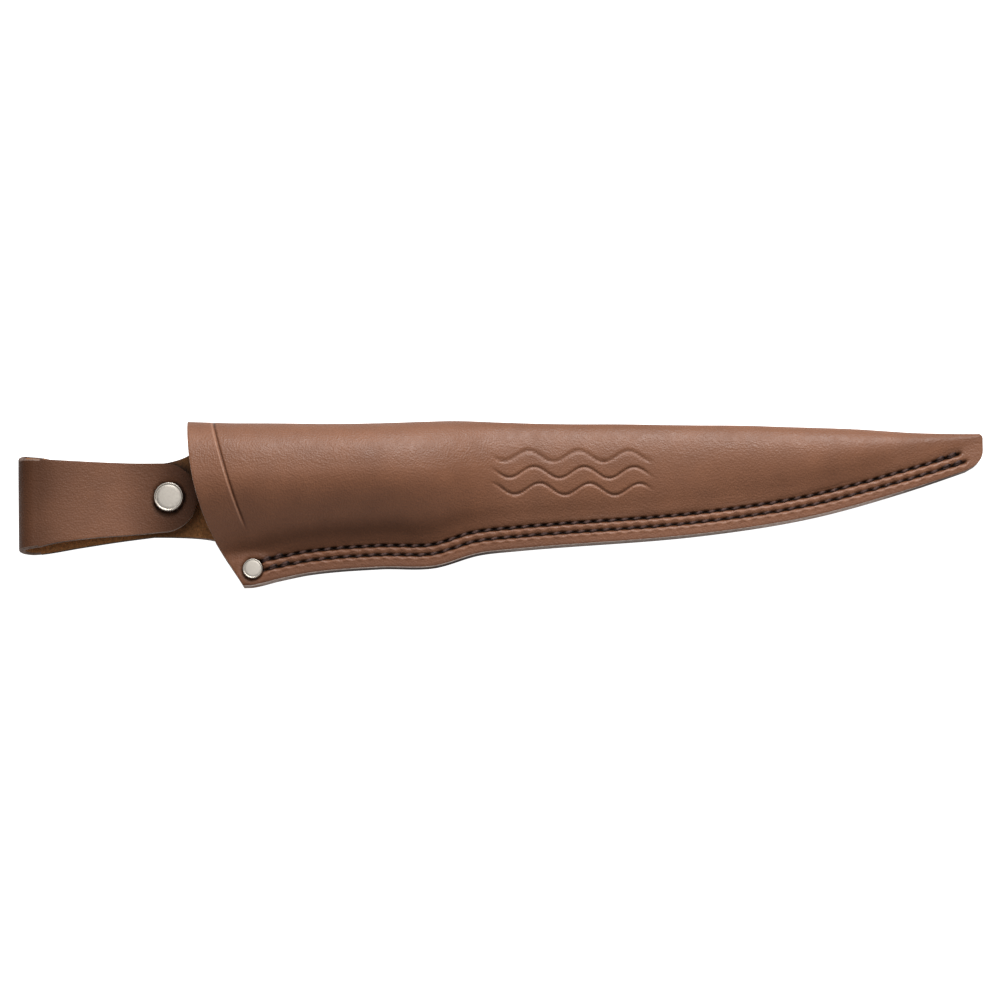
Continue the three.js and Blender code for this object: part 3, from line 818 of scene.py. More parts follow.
@dataclass
class LeatherSheet:
    """A sheet of leather given by its grain face, with thickness, rubbed edges and pressed marks."""

    name: str
    form: SheathForm
    axes: SheathAxes
    edge_round: float = 0.6

    def at_join(self, vert: bmesh.types.BMVert) -> bool:
        """Whether a vertex is on the join with the next sheet, which stays square."""
        return abs(vert.co.x - self.axes.x - self.form.join_x * MM) < JOIN_SLACK

    def thicken(self, mesh: bmesh.types.BMesh) -> None:
        """Gives the sheet its thickness and rounds its cut edges.

        Args:
            mesh: The grain face, facing outwards.
        """
        grain = set(mesh.verts)
        bmesh.ops.solidify(mesh, geom=mesh.faces[:], thickness=self.form.leather * MM)
        mesh.normal_update()
        rims = []
        for face in mesh.faces:
            kinds = {vert in grain for vert in face.verts}
            if kinds == {True, False}:
                face.material_index = LeatherSide.EDGE.value
                rims.append(face)
            elif kinds == {True}:
                face.material_index = LeatherSide.GRAIN.value
            else:
                face.material_index = LeatherSide.FLESH.value
        rim_set = set(rims)
        edges = []
        for rim in rims:
            for edge in rim.edges:
                others = [f for f in edge.link_faces if f not in rim_set]
                if others and not all(self.at_join(vert) for vert in edge.verts):
                    edges.append(edge)
        joined = [rim for rim in rims if all(self.at_join(vert) for vert in rim.verts)]
        bmesh.ops.delete(mesh, geom=joined, context="FACES_ONLY")
        rounded = bmesh.ops.bevel(
            mesh,
            geom=list(set(edges)),
            offset=self.edge_round * MM,
            offset_type="OFFSET",
            segments=2,
            profile=0.5,
            affect="EDGES",
            clamp_overlap=True,
            material=-1,
        )
        for face in rounded["faces"]:
            face.material_index = LeatherSide.EDGE.value

    def mark_points(
        self, piece: bpy.types.Object, name: str, shade: Callable[[np.ndarray], np.ndarray]
    ) -> None:
        """Stores a painted shading value for each point.

        Args:
            piece: The finished leather.
            name: The attribute that the finish reads.
            shade: Gives a share from -1, painted highlight, to 1, painted shade, for points in millimetres.
        """
        points = np.empty(len(piece.data.vertices) * 3)
        piece.data.vertices.foreach_get("co", points)
        points = points.reshape(-1, 3) / MM - np.array([self.axes.x, self.axes.y, 0]) / MM
        values = np.clip(shade(points), -1, 1).astype(np.float32)
        attribute = piece.data.attributes.new(name, "FLOAT", "POINT")
        attribute.data.foreach_set("value", values)

    def local(self, vert: bmesh.types.BMVert) -> tuple[float, float, float]:
        """A vertex in the sheath's own millimetres."""
        co = vert.co
        return ((co.x - self.axes.x) / MM, (co.y - self.axes.y) / MM, co.z / MM)


@dataclass
class PocketLeather(LeatherSheet):
    """Front panel, back panel and the back layer of the belt strap, in one folded sheet."""

    rows: int = 270
    settling: int = 8
    counts: tuple[tuple[Zone, int], ...] = (
        (Zone.FRONT_FLANGE, 17),
        (Zone.FRONT_RISE, 32),
        (Zone.FRONT_TURN, 15),
        (Zone.BACK_TURN, 10),
        (Zone.BACK_FLAT, 15),
        (Zone.BACK_RISE, 10),
        (Zone.BACK_FLANGE, 12),
    )
    crease_setback: float = 8.5
    crease_reach: float = 20.6
    crease_low: float = -12.3
    crease_bow: float = 6.0
    crease_turn: float = 0.36
    crease_square: float = 0.95
    wave_x: float = 130.5
    wave_y: float = 8.2
    wave_length: float = 17.0
    wave_height: float = 1.9
    wave_gap: float = 5.6
    wave_half: float = 28.5
    crease_depth: float = 0.55
    crease_half: float = 0.38
    wave_depth: float = 0.52
    wave_stroke: float = 0.46
    channel_depth: float = 0.26
    channel_half: float = 0.8
    hole_depth: float = 0.85
    hole_half: float = 0.55
    hole_long: float = 1.15
    row_fade: float = 2.5
    swell: float = 0.12
    root_low: float = -15.2
    root_high: float = 16.6
    neck_rows: int = 16
    strap_rows: int = 36
    post_radius: float = 4.3
    post_depth: float = 0.75
    front_facing: float = 0.15
    flat_facing: float = 0.3
    wall_above: float = 3.0
    seam_above: float = 4.0
    waves_above: float = 6.0
    crease_above: float = 9.0

    def columns(self) -> list[tuple[Zone, float]]:
        """The section's stations from the front cut edge to the back one.

        Returns:
            Zone and share for each column of the grid.
        """
        stations = [(self.counts[0][0], 0.0)]
        for zone, count in self.counts:
            stations += [(zone, (k + 1) / count) for k in range(count)]
        return stations

    def pocket_points(self) -> np.ndarray:
        """The folded pocket's grain face.

        Returns:
            Points by row along the sheath and column round the section.
        """
        form = self.form
        share = np.linspace(0, 1, self.rows + 1)
        lines = []
        for zone, s in self.columns():
            start, stop = np.zeros(1), np.full(1, form.length)
            for _ in range(self.settling):
                start = form.mouth_x(form.section(start, zone, s)[0])
                stop = form.tip_x(form.section(stop, zone, s)[0])
            x = start + (stop - start) * share
            y, z = form.section(x, zone, s)
            lines.append(np.stack([x, y, z + 0 * x], axis=1))
        return np.stack(lines, axis=1)

    def strap_points(self, root: np.ndarray) -> np.ndarray:
        """The strap's grain face, from the mouth's back edge to the belt fold.

        Args:
            root: The points of the mouth's back edge that the strap grows from, top first.

        Returns:
            Points by row along the strap and column across it.
        """
        form = self.form
        top, low = root[0], root[-1]
        across = ((top[1] - root[:, 1]) / (top[1] - low[1]))[:, None]
        bulge = root - (top + across * (low - top))
        neck_top = np.array([form.neck_x, form.neck_half, 0.0])
        neck_low = np.array([form.neck_x, -form.neck_half, 0.0])
        # The strap's edges curve in from the mouth to the neck, pulled towards these two points
        pull_top = np.array([top[0] - 4.5, form.neck_half + 0.6, 0.0])
        pull_low = np.array([low[0] - 5.5, -form.neck_half + 0.1, 0.0])
        lines = []
        for t in np.linspace(0, 1, self.neck_rows):
            upper = (1 - t) ** 2 * top + 2 * t * (1 - t) * pull_top + t * t * neck_top
            lower = (1 - t) ** 2 * low + 2 * t * (1 - t) * pull_low + t * t * neck_low
            lines.append(upper + across * (lower - upper) + bulge * (1 - t) ** 2)
        edge_high, edge_low = strap_edges(form)
        for x in np.linspace(form.neck_x, form.join_x, self.strap_rows)[1:]:
            upper = np.array([x, edge_high(x), 0.0])
            lower = np.array([x, edge_low(x), 0.0])
            lines.append(upper + across * (lower - upper))
        return np.stack(lines)

    def press(self, mesh: bmesh.types.BMesh) -> None:
        """Presses the crease, the wave lines and the stitching channels into the grain face.

        Args:
            mesh: The grain face.
        """
        mesh.normal_update()
        verts = list(mesh.verts)
        points = np.array([self.local(v) for v in verts])
        normals = np.array([v.normal[:] for v in verts])
        depth = self.relief(points, normals[:, 2])
        for vert, normal, value in zip(verts, normals, depth):
            vert.co += Vector(normal) * (value * MM)

    def edge_distance(self, points: np.ndarray) -> np.ndarray:
        """Distance of points from the cut edge, square to it."""
        x = points[:, 0]
        return (points[:, 1] - self.form.cut_edge(x)) / self.form.edge_climb(x)

    def row_marks(self, points: np.ndarray) -> list[tuple[np.ndarray, np.ndarray, np.ndarray]]:
        """Where points lie beside the stitching.

        Args:
            points: Points in millimetres.

        Returns:
            For each row, the distance above its line, the distance from the nearest hole, and a share
            that is 1 along the row and 0 past its ends.
        """
        form, x = self.form, points[:, 0]
        marks = []
        for inner in (True, False):
            across = points[:, 1] - form.row_height(x, form.row_distance(inner))
            across = across / form.edge_climb(x)
            centres = form.row_stitches(inner)
            holes = np.concatenate([[2 * centres[0] - centres[1]], centres]) + form.pitch / 2
            k = np.clip(np.searchsorted(holes, x), 1, len(holes) - 1)
            along = np.minimum(np.abs(x - holes[k - 1]), np.abs(x - holes[k])) * form.edge_climb(x)
            first, last, fade = holes[0], holes[-1], self.row_fade
            ends = smoothstep(x, first - fade, first) * (1 - smoothstep(x, last, last + fade))
            marks.append((across, along, ends))
        return marks

    def crease_offset(self, points: np.ndarray) -> tuple[np.ndarray, np.ndarray]:
        """Where points lie beside the pressed line at the mouth.

        Args:
            points: Points in millimetres.

        Returns:
            The distance past the line towards the tip, and how strongly the line is pressed there.
        """
        top, low = self.form.spine_mouth, self.crease_low
        turn = low + (top - low) * self.crease_turn
        t = np.linspace(0, 1, CURVE_POINTS)
        line_x = (1 - t) ** 2 * self.crease_setback + t * t * self.crease_reach
        line_x += 2 * t * (1 - t) * (self.crease_setback + self.crease_bow)
        line_y = (1 - t) ** 2 * top + 2 * t * (1 - t) * turn + t * t * low
        y = points[:, 1]
        line = np.interp(y, line_y[::-1], line_x[::-1])
        return (points[:, 0] - line) * self.crease_square, smoothstep(y, low - 0.6, low + 5)

    def wave_press(self, points: np.ndarray, lift: float, width: float) -> np.ndarray:
        """How strongly the three wave lines are pressed at points.

        Args:
            points: Points in millimetres.
            lift: How far above the lines to measure from.
            width: Half width of a line.

        Returns:
            Shares from 0 to 1.
        """
        along = points[:, 0] - self.wave_x
        phase = 2 * math.pi * along / self.wave_length
        steep = np.hypot(1, self.wave_height * 2 * math.pi / self.wave_length * np.cos(phase))
        pressed_and_shaded = np.zeros(len(points))
        for k in (-1, 0, 1):
            middle = self.wave_y + lift + k * self.wave_gap + self.wave_height * np.sin(phase + 0.7 * k)
            pressed_and_shaded += bell((points[:, 1] - middle) / steep, width)
        return pressed_and_shaded * (1 - smoothstep(np.abs(along), self.wave_half - 5, self.wave_half))

    def crease_shade(self, off: np.ndarray) -> np.ndarray:
        """Painted highlight on the mouth side of the pressed line, and painted shade in its bottom."""
        return 0.5 * bell(off - 0.3, 0.35) - 0.36 * bell(off + 0.5, 0.32)

    def relief(self, points: np.ndarray, facing: np.ndarray) -> np.ndarray:
        """How far each point of the grain face stands out.

        Args:
            points: Points in millimetres.
            facing: How much each faces the front, from -1 to 1.

        Returns:
            Millimetres outwards for each point.
        """
        form = self.form
        x, y = points[:, 0], points[:, 1]
        front = facing > self.front_facing
        flat = np.abs(facing) > self.flat_facing
        from_edge = self.edge_distance(points)
        out = np.zeros(len(points))
        for across, along, ends in self.row_marks(points):
            hole = self.hole_depth * bell(across, self.hole_half) * bell(along, self.hole_long)
            groove = self.channel_depth * bell(across, self.channel_half) + hole
            uneven = 0.5 + 0.5 * np.sin(x * 1.9 + 2.1 * np.sin(x * 0.47))
            below = bell(across + 0.95 + 0.6 * bell(along, 1.2), 0.6)
            puff = (0.08 + 0.26 * smoothstep(along, 0.4, 1.9) * (0.6 + 0.4 * uneven)) * below
            out += np.where(flat, ends * (puff - groove), 0.0)
        off, reach = self.crease_offset(points)
        line = self.crease_depth * bell(off, self.crease_half)
        step = (0.16 * bell(off, 5.0) + 0.1 * bell(off + 0.5, 0.4)) * (off < 0) * (1 - smoothstep(y, 14, 23))
        out += np.where(front & (x > 0), reach * (step - line), 0.0)
        out -= np.where(front, self.wave_depth * self.wave_press(points, 0.0, self.wave_stroke), 0.0)
        # Leather puffs up round the rivet and dips under its cap
        rivet = form.rivet_distance(x, y)
        puffed = 0.35 * bell(rivet - 4.9, 1.0) - 0.3 * bell(np.maximum(rivet - 3.0, 0), 0.8)
        out += np.where(front, puffed, 0.0)
        # The stud's post is sunk into the back of the strap
        post = np.hypot(x - form.snap_x, y)
        sunk = self.post_depth * (1 - smoothstep(post, self.post_radius, self.post_radius + 0.9))
        out -= np.where((facing < -self.flat_facing) & (x < 0), sunk, 0.0)
        # Slow unevenness of hand-formed leather
        slow = np.sin(x * 0.07 + 1.3) * np.sin(y * 0.11 + x * 0.02) + 0.6 * np.sin(x * 0.16 - y * 0.13)
        body = smoothstep(x, 2, 20) * (1 - smoothstep(x, 235, 262))
        out += np.where(front & (from_edge > form.seam_width), self.swell * slow * body, 0.0)
        return out

    def painted_shading(self, points: np.ndarray) -> np.ndarray:
        """Painted shade and highlight at each point: the stitching, the pressed lines, the walls, the spine,
        the seam and the rivet.

        Args:
            points: Points in millimetres.

        Returns:
            Shares from -1, painted highlight, to 1, painted shade.
        """
        form = self.form
        x, y, z = points.T
        from_edge = self.edge_distance(points)
        shade = np.zeros(len(points))
        # Painted shade in the stitch holes and channels, painted highlight on the rim below each stitch
        for across, along, ends in self.row_marks(points):
            shade += ends * (0.22 * bell(across, 0.7) + 0.95 * bell(across, 0.48) * bell(along, 1.4))
            shade -= ends * 0.22 * bell(across + 1.05 + 0.3 * bell(along, 1.2), 0.32)
        # Painted shade on the pocket wall where it rises beside the inner row, and along the spine
        past_row, _, ends = self.row_marks(points)[0]
        wall = 0.32 * ends * bell(np.maximum(past_row - 1.0, 0), 1.6) * (past_row > 0)
        under = form.fold_line(x) - y
        handle = 1 - smoothstep(x, 150, 195)
        spine = (0.13 + 0.11 * handle) * bell(under, 3.2) + 0.07 * handle * bell(under - 13, 3.6)
        shade += np.where(z > self.wall_above, wall + spine, 0.0)
        # Painted highlight and shade along the pressed line at the mouth and along the wave lines
        off, reach = self.crease_offset(points)
        shade += np.where((x > 0) & (z > self.crease_above), reach * self.crease_shade(off), 0.0)
        shade += np.where(z > self.waves_above, 0.32 * self.wave_press(points, 0.2, 0.34), 0.0)
        shade -= np.where(z > self.waves_above, 0.16 * self.wave_press(points, -0.5, 0.3), 0.0)
        # Painted shade under the handle's bulge and over the flange beside it, with a darker line along the
        # cut edge
        low = bell(from_edge - form.seam_width - 4.0, 3.5)
        low *= smoothstep(x, 6, 20) * (1 - 0.4 * smoothstep(x, 70, 110) - 0.35 * smoothstep(x, 120, 180))
        flange = (1 - smoothstep(from_edge, 7.2, 9.0)) * smoothstep(x, 8, 20)
        flange *= 1 - 0.95 * smoothstep(x, 110, 165)
        flange += 1.6 * bell(from_edge, 0.8)
        # Painted shadow round the rivet's cap
        rivet = form.rivet_distance(x, y)
        shade += np.where(z > self.seam_above, 0.7 * bell(np.maximum(rivet - 3.4, 0), 0.5), 0.0)
        return shade + np.where(z > self.seam_above, 0.44 * low + 0.2 * flange, 0.0)

    def build(self, looks: Looks) -> bpy.types.Object:
        """Makes the folded leather.

        Args:
            looks: The finishes.

        Returns:
            The finished piece, riding on the sheath.
        """
        form = self.form
        points = self.pocket_points()
        mesh = bmesh.new()
        grid_sheet(mesh, points, self.axes)
        # The strap grows from the back panel, whose columns come after the three front zones
        first_back = 1 + sum(count for _, count in self.counts[:3])
        edge_y = points[0, :, 1]
        back = range(first_back, points.shape[1])
        root = [j for j in back if self.root_low < edge_y[j] < self.root_high]
        grid_sheet(mesh, self.strap_points(points[0, root[0] : root[-1] + 1]), self.axes)
        bmesh.ops.remove_doubles(mesh, verts=mesh.verts[:], dist=WELD)
        bmesh.ops.recalc_face_normals(mesh, faces=mesh.faces[:])
        face_up(mesh)
        self.refine(mesh)
        self.press(mesh)
        self.thicken(mesh)
        # The flesh side stays flat along the strap and under the stud
        flesh = [face for face in mesh.faces if face.material_index == LeatherSide.FLESH.value]
        for vert in {vert for face in flesh for vert in face.verts}:
            x, y, _ = self.local(vert)
            if x < form.neck_x or math.hypot(x - form.snap_x, y) < self.post_radius + 2:
                vert.co.z = form.leather * MM
        piece = finish_object(mesh, self.name, (looks.grain, looks.flesh, looks.edge, looks.back_edge))
        # Painted shade and highlight on the grain side, painted shadow on the flesh side
        self.mark_points(piece, "painted_shading", self.painted_shading)
        self.mark_points(piece, "painted_shadow", self.painted_shadow)
        for face in piece.data.polygons:
            if face.material_index == LeatherSide.EDGE.value and face.center.x < self.axes.x - MM:
                face.material_index = LeatherSide.BACK_EDGE.value
        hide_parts("body_leather")
        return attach(piece, "sheath")

    def painted_shadow(self, points: np.ndarray) -> np.ndarray:
        """Painted shadow on the flesh side round the flap's end and along the strap's upper edge.

        Args:
            points: Points in millimetres.

        Returns:
            Shares from 0. Past 1 counts as 1.
        """
        form, x, y = self.form, points[:, 0], points[:, 1]
        past = np.hypot(np.maximum(x - form.snap_x + 2, 0), y) - form.flap_half
        shade = 0.6 * bell(past, 1.9) + 0.6 * smoothstep(y, 6, 11)
        return shade * smoothstep(x, -22, -12) * (1 - smoothstep(x, 8, 20))

    def refine(self, mesh: bmesh.types.BMesh) -> None:
        """Cuts the faces finer where lines are pressed into the front.

        Args:
            mesh: The grain face.
        """
        crease, marks = set(), set()
        wave_reach = self.wave_height + self.wave_gap + 1.5
        faces = [face for face in mesh.faces if abs(face.normal.z) > self.front_facing]
        centres = [face.calc_center_median() for face in faces]
        points = np.array([((c.x - self.axes.x) / MM, (c.y - self.axes.y) / MM, c.z / MM) for c in centres])
        front = np.array([face.normal.z > 0 for face in faces])
        off, _ = self.crease_offset(points)
        pressed_and_shaded = front & (np.abs(off) < 2.0) & (points[:, 1] > self.crease_low - 1) & (points[:, 0] > 0)
        marked = front & (np.abs(points[:, 0] - self.wave_x) < self.wave_half)
        marked &= np.abs(points[:, 1] - self.wave_y) < wave_reach
        for across, _, ends in self.row_marks(points):
            marked |= (np.abs(across + 0.3) < 1.7) & (ends > 0)
        for face, is_pressed, is_marked in zip(faces, pressed_and_shaded, marked):
            if is_pressed:
                crease.update(face.edges)
            elif is_marked:
                marks.update(face.edges)
        bmesh.ops.subdivide_edges(mesh, edges=list(crease), cuts=3, use_grid_fill=True)
        alive = [edge for edge in marks if edge.is_valid]
        bmesh.ops.subdivide_edges(mesh, edges=alive, cuts=1, use_grid_fill=True)


def strap_edges(form: SheathForm) -> tuple[Line, Line]:
    """The upper and lower edges of the strap's back layer.

    Args:
        form: The sheath's form.

    Returns:
        Two lines of y along x.
    """
    x0, x1, half = form.bend_x, form.neck_x, form.neck_half
    high = Line((x0 - 6, 15.0), (x0, 15.0), (x0 + 4, 14.2), (-40, 12.6), (-24, 12.0), (x1, half))
    low = Line((x0 - 6, -18.6), (x0, -18.6), (-36, -16.1), (-24, -14.2), (x1, -half))
    return high, low


def flap_edges(form: SheathForm) -> tuple[Line, Line]:
    """The upper and lower edges of the flap.

    Args:
        form: The sheath's form.

    Returns:
        Two lines of y along x.
    """
    x0, half = form.bend_x, form.flap_half
    end = form.snap_x - 2
    high = Line((x0 - 6, 13.1), (x0, 12.8), (-42.4, 12.4), (-31.4, 12), (-19.6, 11.75), (end, half))
    low = Line((x0 - 6, -18.2), (x0, -17.7), (-44, -15.9), (-32, -14.1), (-19, -12.9), (end, -half))
    return high, low


@dataclass
class FoldLeather(LeatherSheet):
    """The stretch of strap that bends round the belt."""

    columns: int = 30
    steps: int = 40
    bulge: float = 0.3
    lean: float = 0.03

    def build(self, looks: Looks) -> bpy.types.Object:
        """Makes the fold round the belt.

        Args:
            looks: The finishes.

        Returns:
            The finished piece.
        """
        form = self.form
        back_high, back_low = strap_edges(form)
        flap_high, flap_low = flap_edges(form)
        radius = form.bend_radius
        lines = []

        def add_line(x: float, z: float, share: float, out: float = 0.0) -> None:
            """Adds one row across the strap, between the back layer's width and the flap's.

            Args:
                x: Place along the sheath.
                z: Height of the row.
                share: How far its width has gone from the back layer's to the flap's.
                out: How far round to the outermost line it is.
            """
            high = back_high(x) * (1 - share) + flap_high(x) * share
            low = back_low(x) * (1 - share) + flap_low(x) * share
            y = np.linspace(high, low, self.columns + 1)
            # The bend isn't quite square to the strap
            lines.append(np.stack([x - out * (self.bulge + self.lean * y), y, 0 * y + z], axis=1))

        near_join = form.bend_x + form.join / 2
        for x in (form.join_x, near_join):
            add_line(x, 0.0, 0.0)
        for k in range(self.steps + 1):
            turn = math.pi * k / self.steps
            share = smoothstep(turn, math.pi * 0.3, math.pi * 0.7)
            out = math.sin(turn)
            add_line(form.bend_x - radius * out, radius * (1 - math.cos(turn)), share, out)
        for x in (near_join, form.join_x):
            add_line(x, form.flap_top(x), 1.0)
        mesh = bmesh.new()
        grid_sheet(mesh, np.array(lines), self.axes)
        mesh.normal_update()
        face_up(mesh)
        self.thicken(mesh)
        piece = finish_object(mesh, self.name, (looks.grain, looks.flesh, looks.strap_edge))
        self.mark_points(piece, "painted_shading", self.painted_shading)
        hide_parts("belt_fold")
        start = self.axes.place((form.bend_x, 0, form.leather))
        stop = self.axes.place((form.bend_x, 0, 2 * radius - form.leather))
        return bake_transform(piece)

    def painted_shading(self, points: np.ndarray) -> np.ndarray:
        """Painted shade, darker towards the bend's outermost line, its upper edge and the flap's side.

        Args:
            points: Points in millimetres.

        Returns:
            Shares from 0 to 1.
        """
        bend, radius = self.form.bend_x, self.form.bend_radius
        x, y, z = points.T
        outermost = 1 - smoothstep(x, bend - radius, bend)
        upper = smoothstep(y, -10, 10)
        return 0.05 + (0.47 + 0.1 * outermost + 0.1 * upper) * smoothstep(z, 0, radius)


@dataclass
class FlapLeather(LeatherSheet):
    """The flap that closes over the belt."""

    columns: int = 30
    rows: int = 46
    end_rows: int = 15
    dimple: float = 0.35
    dimple_radius: float = 4.4
    dimple_fade: float = 1.7

    def build(self, looks: Looks) -> bpy.types.Object:
        """Makes the flap with its round end and the dimple under the stud's cap.

        Args:
            looks: The finishes.

        Returns:
            The finished piece, riding on the flap.
        """
        form = self.form
        high_line, low_line = flap_edges(form)
        round_x = form.snap_x - 2
        even = np.linspace(-1, 1, self.columns + 1)
        bunched = np.sin(even * math.pi / 2)
        lines = []
        for x in np.linspace(form.join_x, round_x, self.rows):
            share = smoothstep(x, form.bend_x + 8, round_x - 6)
            across = even * (1 - share) + bunched * share
            high, low = high_line(x), low_line(x)
            y = (high + low) / 2 - across * (high - low) / 2
            lines.append(np.stack([0 * y + x, y, 0 * y + form.flap_top(x)], axis=1))
        reach = np.sqrt(1 - bunched**2) * (form.flap_end + 2)
        for t in np.linspace(0, 1, self.end_rows)[1:]:
            x = round_x + reach * t
            lines.append(np.stack([x, -bunched * form.flap_half, form.flap_top(x)], axis=1))
        mesh = bmesh.new()
        grid_sheet(mesh, np.stack(lines), self.axes)
        bmesh.ops.remove_doubles(mesh, verts=mesh.verts[:], dist=WELD)
        mesh.normal_update()
        face_up(mesh)
        for vert in mesh.verts:
            x, y, _ = self.local(vert)
            past = max(math.hypot(x - form.snap_x, y) - self.dimple_radius, 0)
            vert.co.z -= self.dimple * bell(past, self.dimple_fade) * MM
        self.thicken(mesh)
        piece = finish_object(mesh, self.name, (looks.grain, looks.flesh, looks.strap_edge))
        self.mark_points(piece, "painted_shading", self.painted_shading)
        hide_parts("belt_flap")
        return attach(piece, "flap")

    def painted_shading(self, points: np.ndarray) -> np.ndarray:
        """Painted shadow round the cap, and painted shade at the bend, along the upper edge and towards the
        round end.

        Args:
            points: Points in millimetres.

        Returns:
            Shares from 0. Past 1 counts as 1.
        """
        x, y, _ = points.T
        ring = np.hypot(x - self.form.snap_x, y)
        bend = 0.26 * (1 - smoothstep(x, self.form.bend_x - 2, self.form.bend_x + 36))
        bend += 0.2 * (1 - smoothstep(x, self.form.bend_x, self.form.bend_x + 12))
        high = 0.1 * smoothstep(y, -10, 10) * (1 - smoothstep(x, -20, -10))
        end = 0.6 * smoothstep(x, -27, -3)
        return 0.08 + bend + high + end + 0.75 * bell(np.maximum(ring - 5.1, 0), 0.5)


@dataclass
class StitchRow:
    """One row of twisted thread on one face, with doubled stitches at both ends."""

    name: str
    node: str
    form: SheathForm
    axes: SheathAxes
    inner: bool
    front: bool
    radius: float = 0.44
    slant: float = 0.2
    dive: float = 1.7
    ply: float = 0.22
    twist: float = 4.6
    double_lift: float = 0.3
    double_shift: float = 0.62
    double_step: float = 0.3
    doubled: int = 2
    wobble: float = 0.07
    unevenness: float = 0.06
    clearance: float = 0.02
    dive_power: float = 2.2
    taper: float = 0.35
    hole_shade: float = 0.95
    along: int = 12
    around: int = 10

    def path_point(self, x: float) -> np.ndarray:
        """The row's line on the leather.

        Args:
            x: Place along the sheath.

        Returns:
            The point in millimetres.
        """
        form = self.form
        face = form.seam_front(x) if self.front else form.seam_back(x)
        return np.array([x, form.row_height(x, form.row_distance(self.inner)), face])

    def stitch(self, mesh: bmesh.types.BMesh, x: float, lift: float, shift: float) -> None:
        """Adds one stitch: a twisted two-ply thread that dives into the leather at both ends.

        Args:
            mesh: The mesh to add to.
            x: Middle of the stitch.
            lift: Extra height for a stitch on top of another.
            shift: Sideways shift from the row.
        """
        half = self.form.pitch * 0.5
        ahead = self.path_point(x + half) - self.path_point(x - half)
        ahead /= np.linalg.norm(ahead)
        side = np.array([-ahead[1], ahead[0], 0.0])
        up = np.array([0.0, 0.0, 1.0 if self.front else -1.0])
        middle = self.path_point(x) + side * shift
        s = np.linspace(-1, 1, self.along + 1)[:, None]
        ring = np.linspace(0, 2 * math.pi, self.around + 1)[None, :]
        height = lift + self.clearance - self.dive * np.abs(s) ** self.dive_power
        thin = self.radius * (1 - self.taper * np.abs(s) ** 2)
        plies = thin * (1 + self.ply * np.cos(2 * ring - self.twist * s))
        centre = middle + s[..., None] * ahead * half + (s * self.slant)[..., None] * side
        centre = centre + height[..., None] * up
        round_side = (plies * np.cos(ring))[..., None] * side + (plies * np.sin(ring))[..., None] * up
        grid_sheet(mesh, centre + round_side, self.axes)

    def build(self, looks: Looks) -> bpy.types.Object:
        """Makes the row.

        Args:
            looks: The finishes.

        Returns:
            The finished piece, riding on the sheath.
        """
        mesh = bmesh.new()
        places = self.form.row_stitches(self.inner)
        for k, x in enumerate(places):
            self.stitch(mesh, x, self.unevenness * math.sin(k * 1.7), self.wobble * math.sin(k * 2.4))
            if k < self.doubled or k >= len(places) - self.doubled:
                self.stitch(mesh, x + self.double_step, self.double_lift, self.double_shift)
        bmesh.ops.remove_doubles(mesh, verts=mesh.verts[:], dist=WELD)
        bmesh.ops.recalc_face_normals(mesh, faces=mesh.faces[:])
        piece = finish_object(mesh, self.name, (looks.thread,))
        # Painted shade on the thread towards its holes
        centres = np.array([(vert.co.x - self.axes.x) / MM for vert in piece.data.vertices])
        away = np.abs(centres[:, None] - places[None, :]).min(axis=1) / (self.form.pitch / 2)
        sunk = piece.data.attributes.new("painted_shading", "FLOAT", "POINT")
        shade = self.hole_shade * smoothstep(away, 0.24, 0.64)
        sunk.data.foreach_set("value", shade.astype(np.float32))
        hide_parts(self.node)
        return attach(piece, "sheath")


@dataclass
class TurnedCap:
    """A pressed metal cap, spun round its own axis."""

    name: str
    node: str
    body: str
    steps: int = 64

    def profile(self, radius: float, low: float, high: float) -> list[tuple[float, float]]:
        """The cap's outline from its rim underneath to its middle.

        Args:
            radius: Outer radius in metres.
            low: Height of its seat.
            high: Height of its top.

        Returns:
            Radius and height pairs.
        """
        tall, roll = high - low, 0.055 * radius
        outline = [(radius * 0.3, low), (radius * 0.95, low), (radius, low + 0.12 * tall)]
        outline += [(radius, low + 0.42 * tall), (radius * 0.975, low + 0.5 * tall)]
        # Rolled rim, a shallow groove inside it and a nearly flat face
        for k in range(9):
            turn = math.pi * k / 8
            outline.append((radius * 0.975 - roll * (1 - math.cos(turn)), high - roll * (1 - math.sin(turn))))
        outline.append((radius * 0.84, high - 1.25 * roll))
        for k in range(6):
            share = 1 - k / 5
            outline.append((radius * 0.79 * share, high - roll * (0.55 + 0.35 * share**2)))
        return outline

    def build(self, looks: Looks, seat: float) -> bpy.types.Object:
        """Makes the cap in the place of the solid one.

        Args:
            looks: The finishes.
            seat: Height of the leather under the cap, in metres.

        Returns:
            The finished piece.
        """
        low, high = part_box(self.node)
        x, y = (low[0] + high[0]) / 2, (low[1] + high[1]) / 2
        radius = (high[0] - low[0]) / 2
        mesh = bmesh.new()
        chain = []
        for r, z in self.profile(radius, seat, high[2]):
            chain += bmesh.ops.create_vert(mesh, co=Vector((x + r, y, z)))["vert"]
        edges = []
        for a, b in zip(chain, chain[1:]):
            edges += bmesh.ops.contextual_create(mesh, geom=[a, b])["edges"]
        bmesh.ops.spin(
            mesh,
            geom=chain + edges,
            cent=Vector((x, y, 0)),
            axis=Vector((0, 0, 1)),
            angle=2 * math.pi,
            steps=self.steps,
            use_merge=True,
        )
        bmesh.ops.remove_doubles(mesh, verts=mesh.verts[:], dist=WELD)
        bmesh.ops.recalc_face_normals(mesh, faces=mesh.faces[:])
        face_up(mesh)
        piece = finish_object(mesh, self.name, (looks.nickel,))
        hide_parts(self.node)
        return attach(piece, self.body)


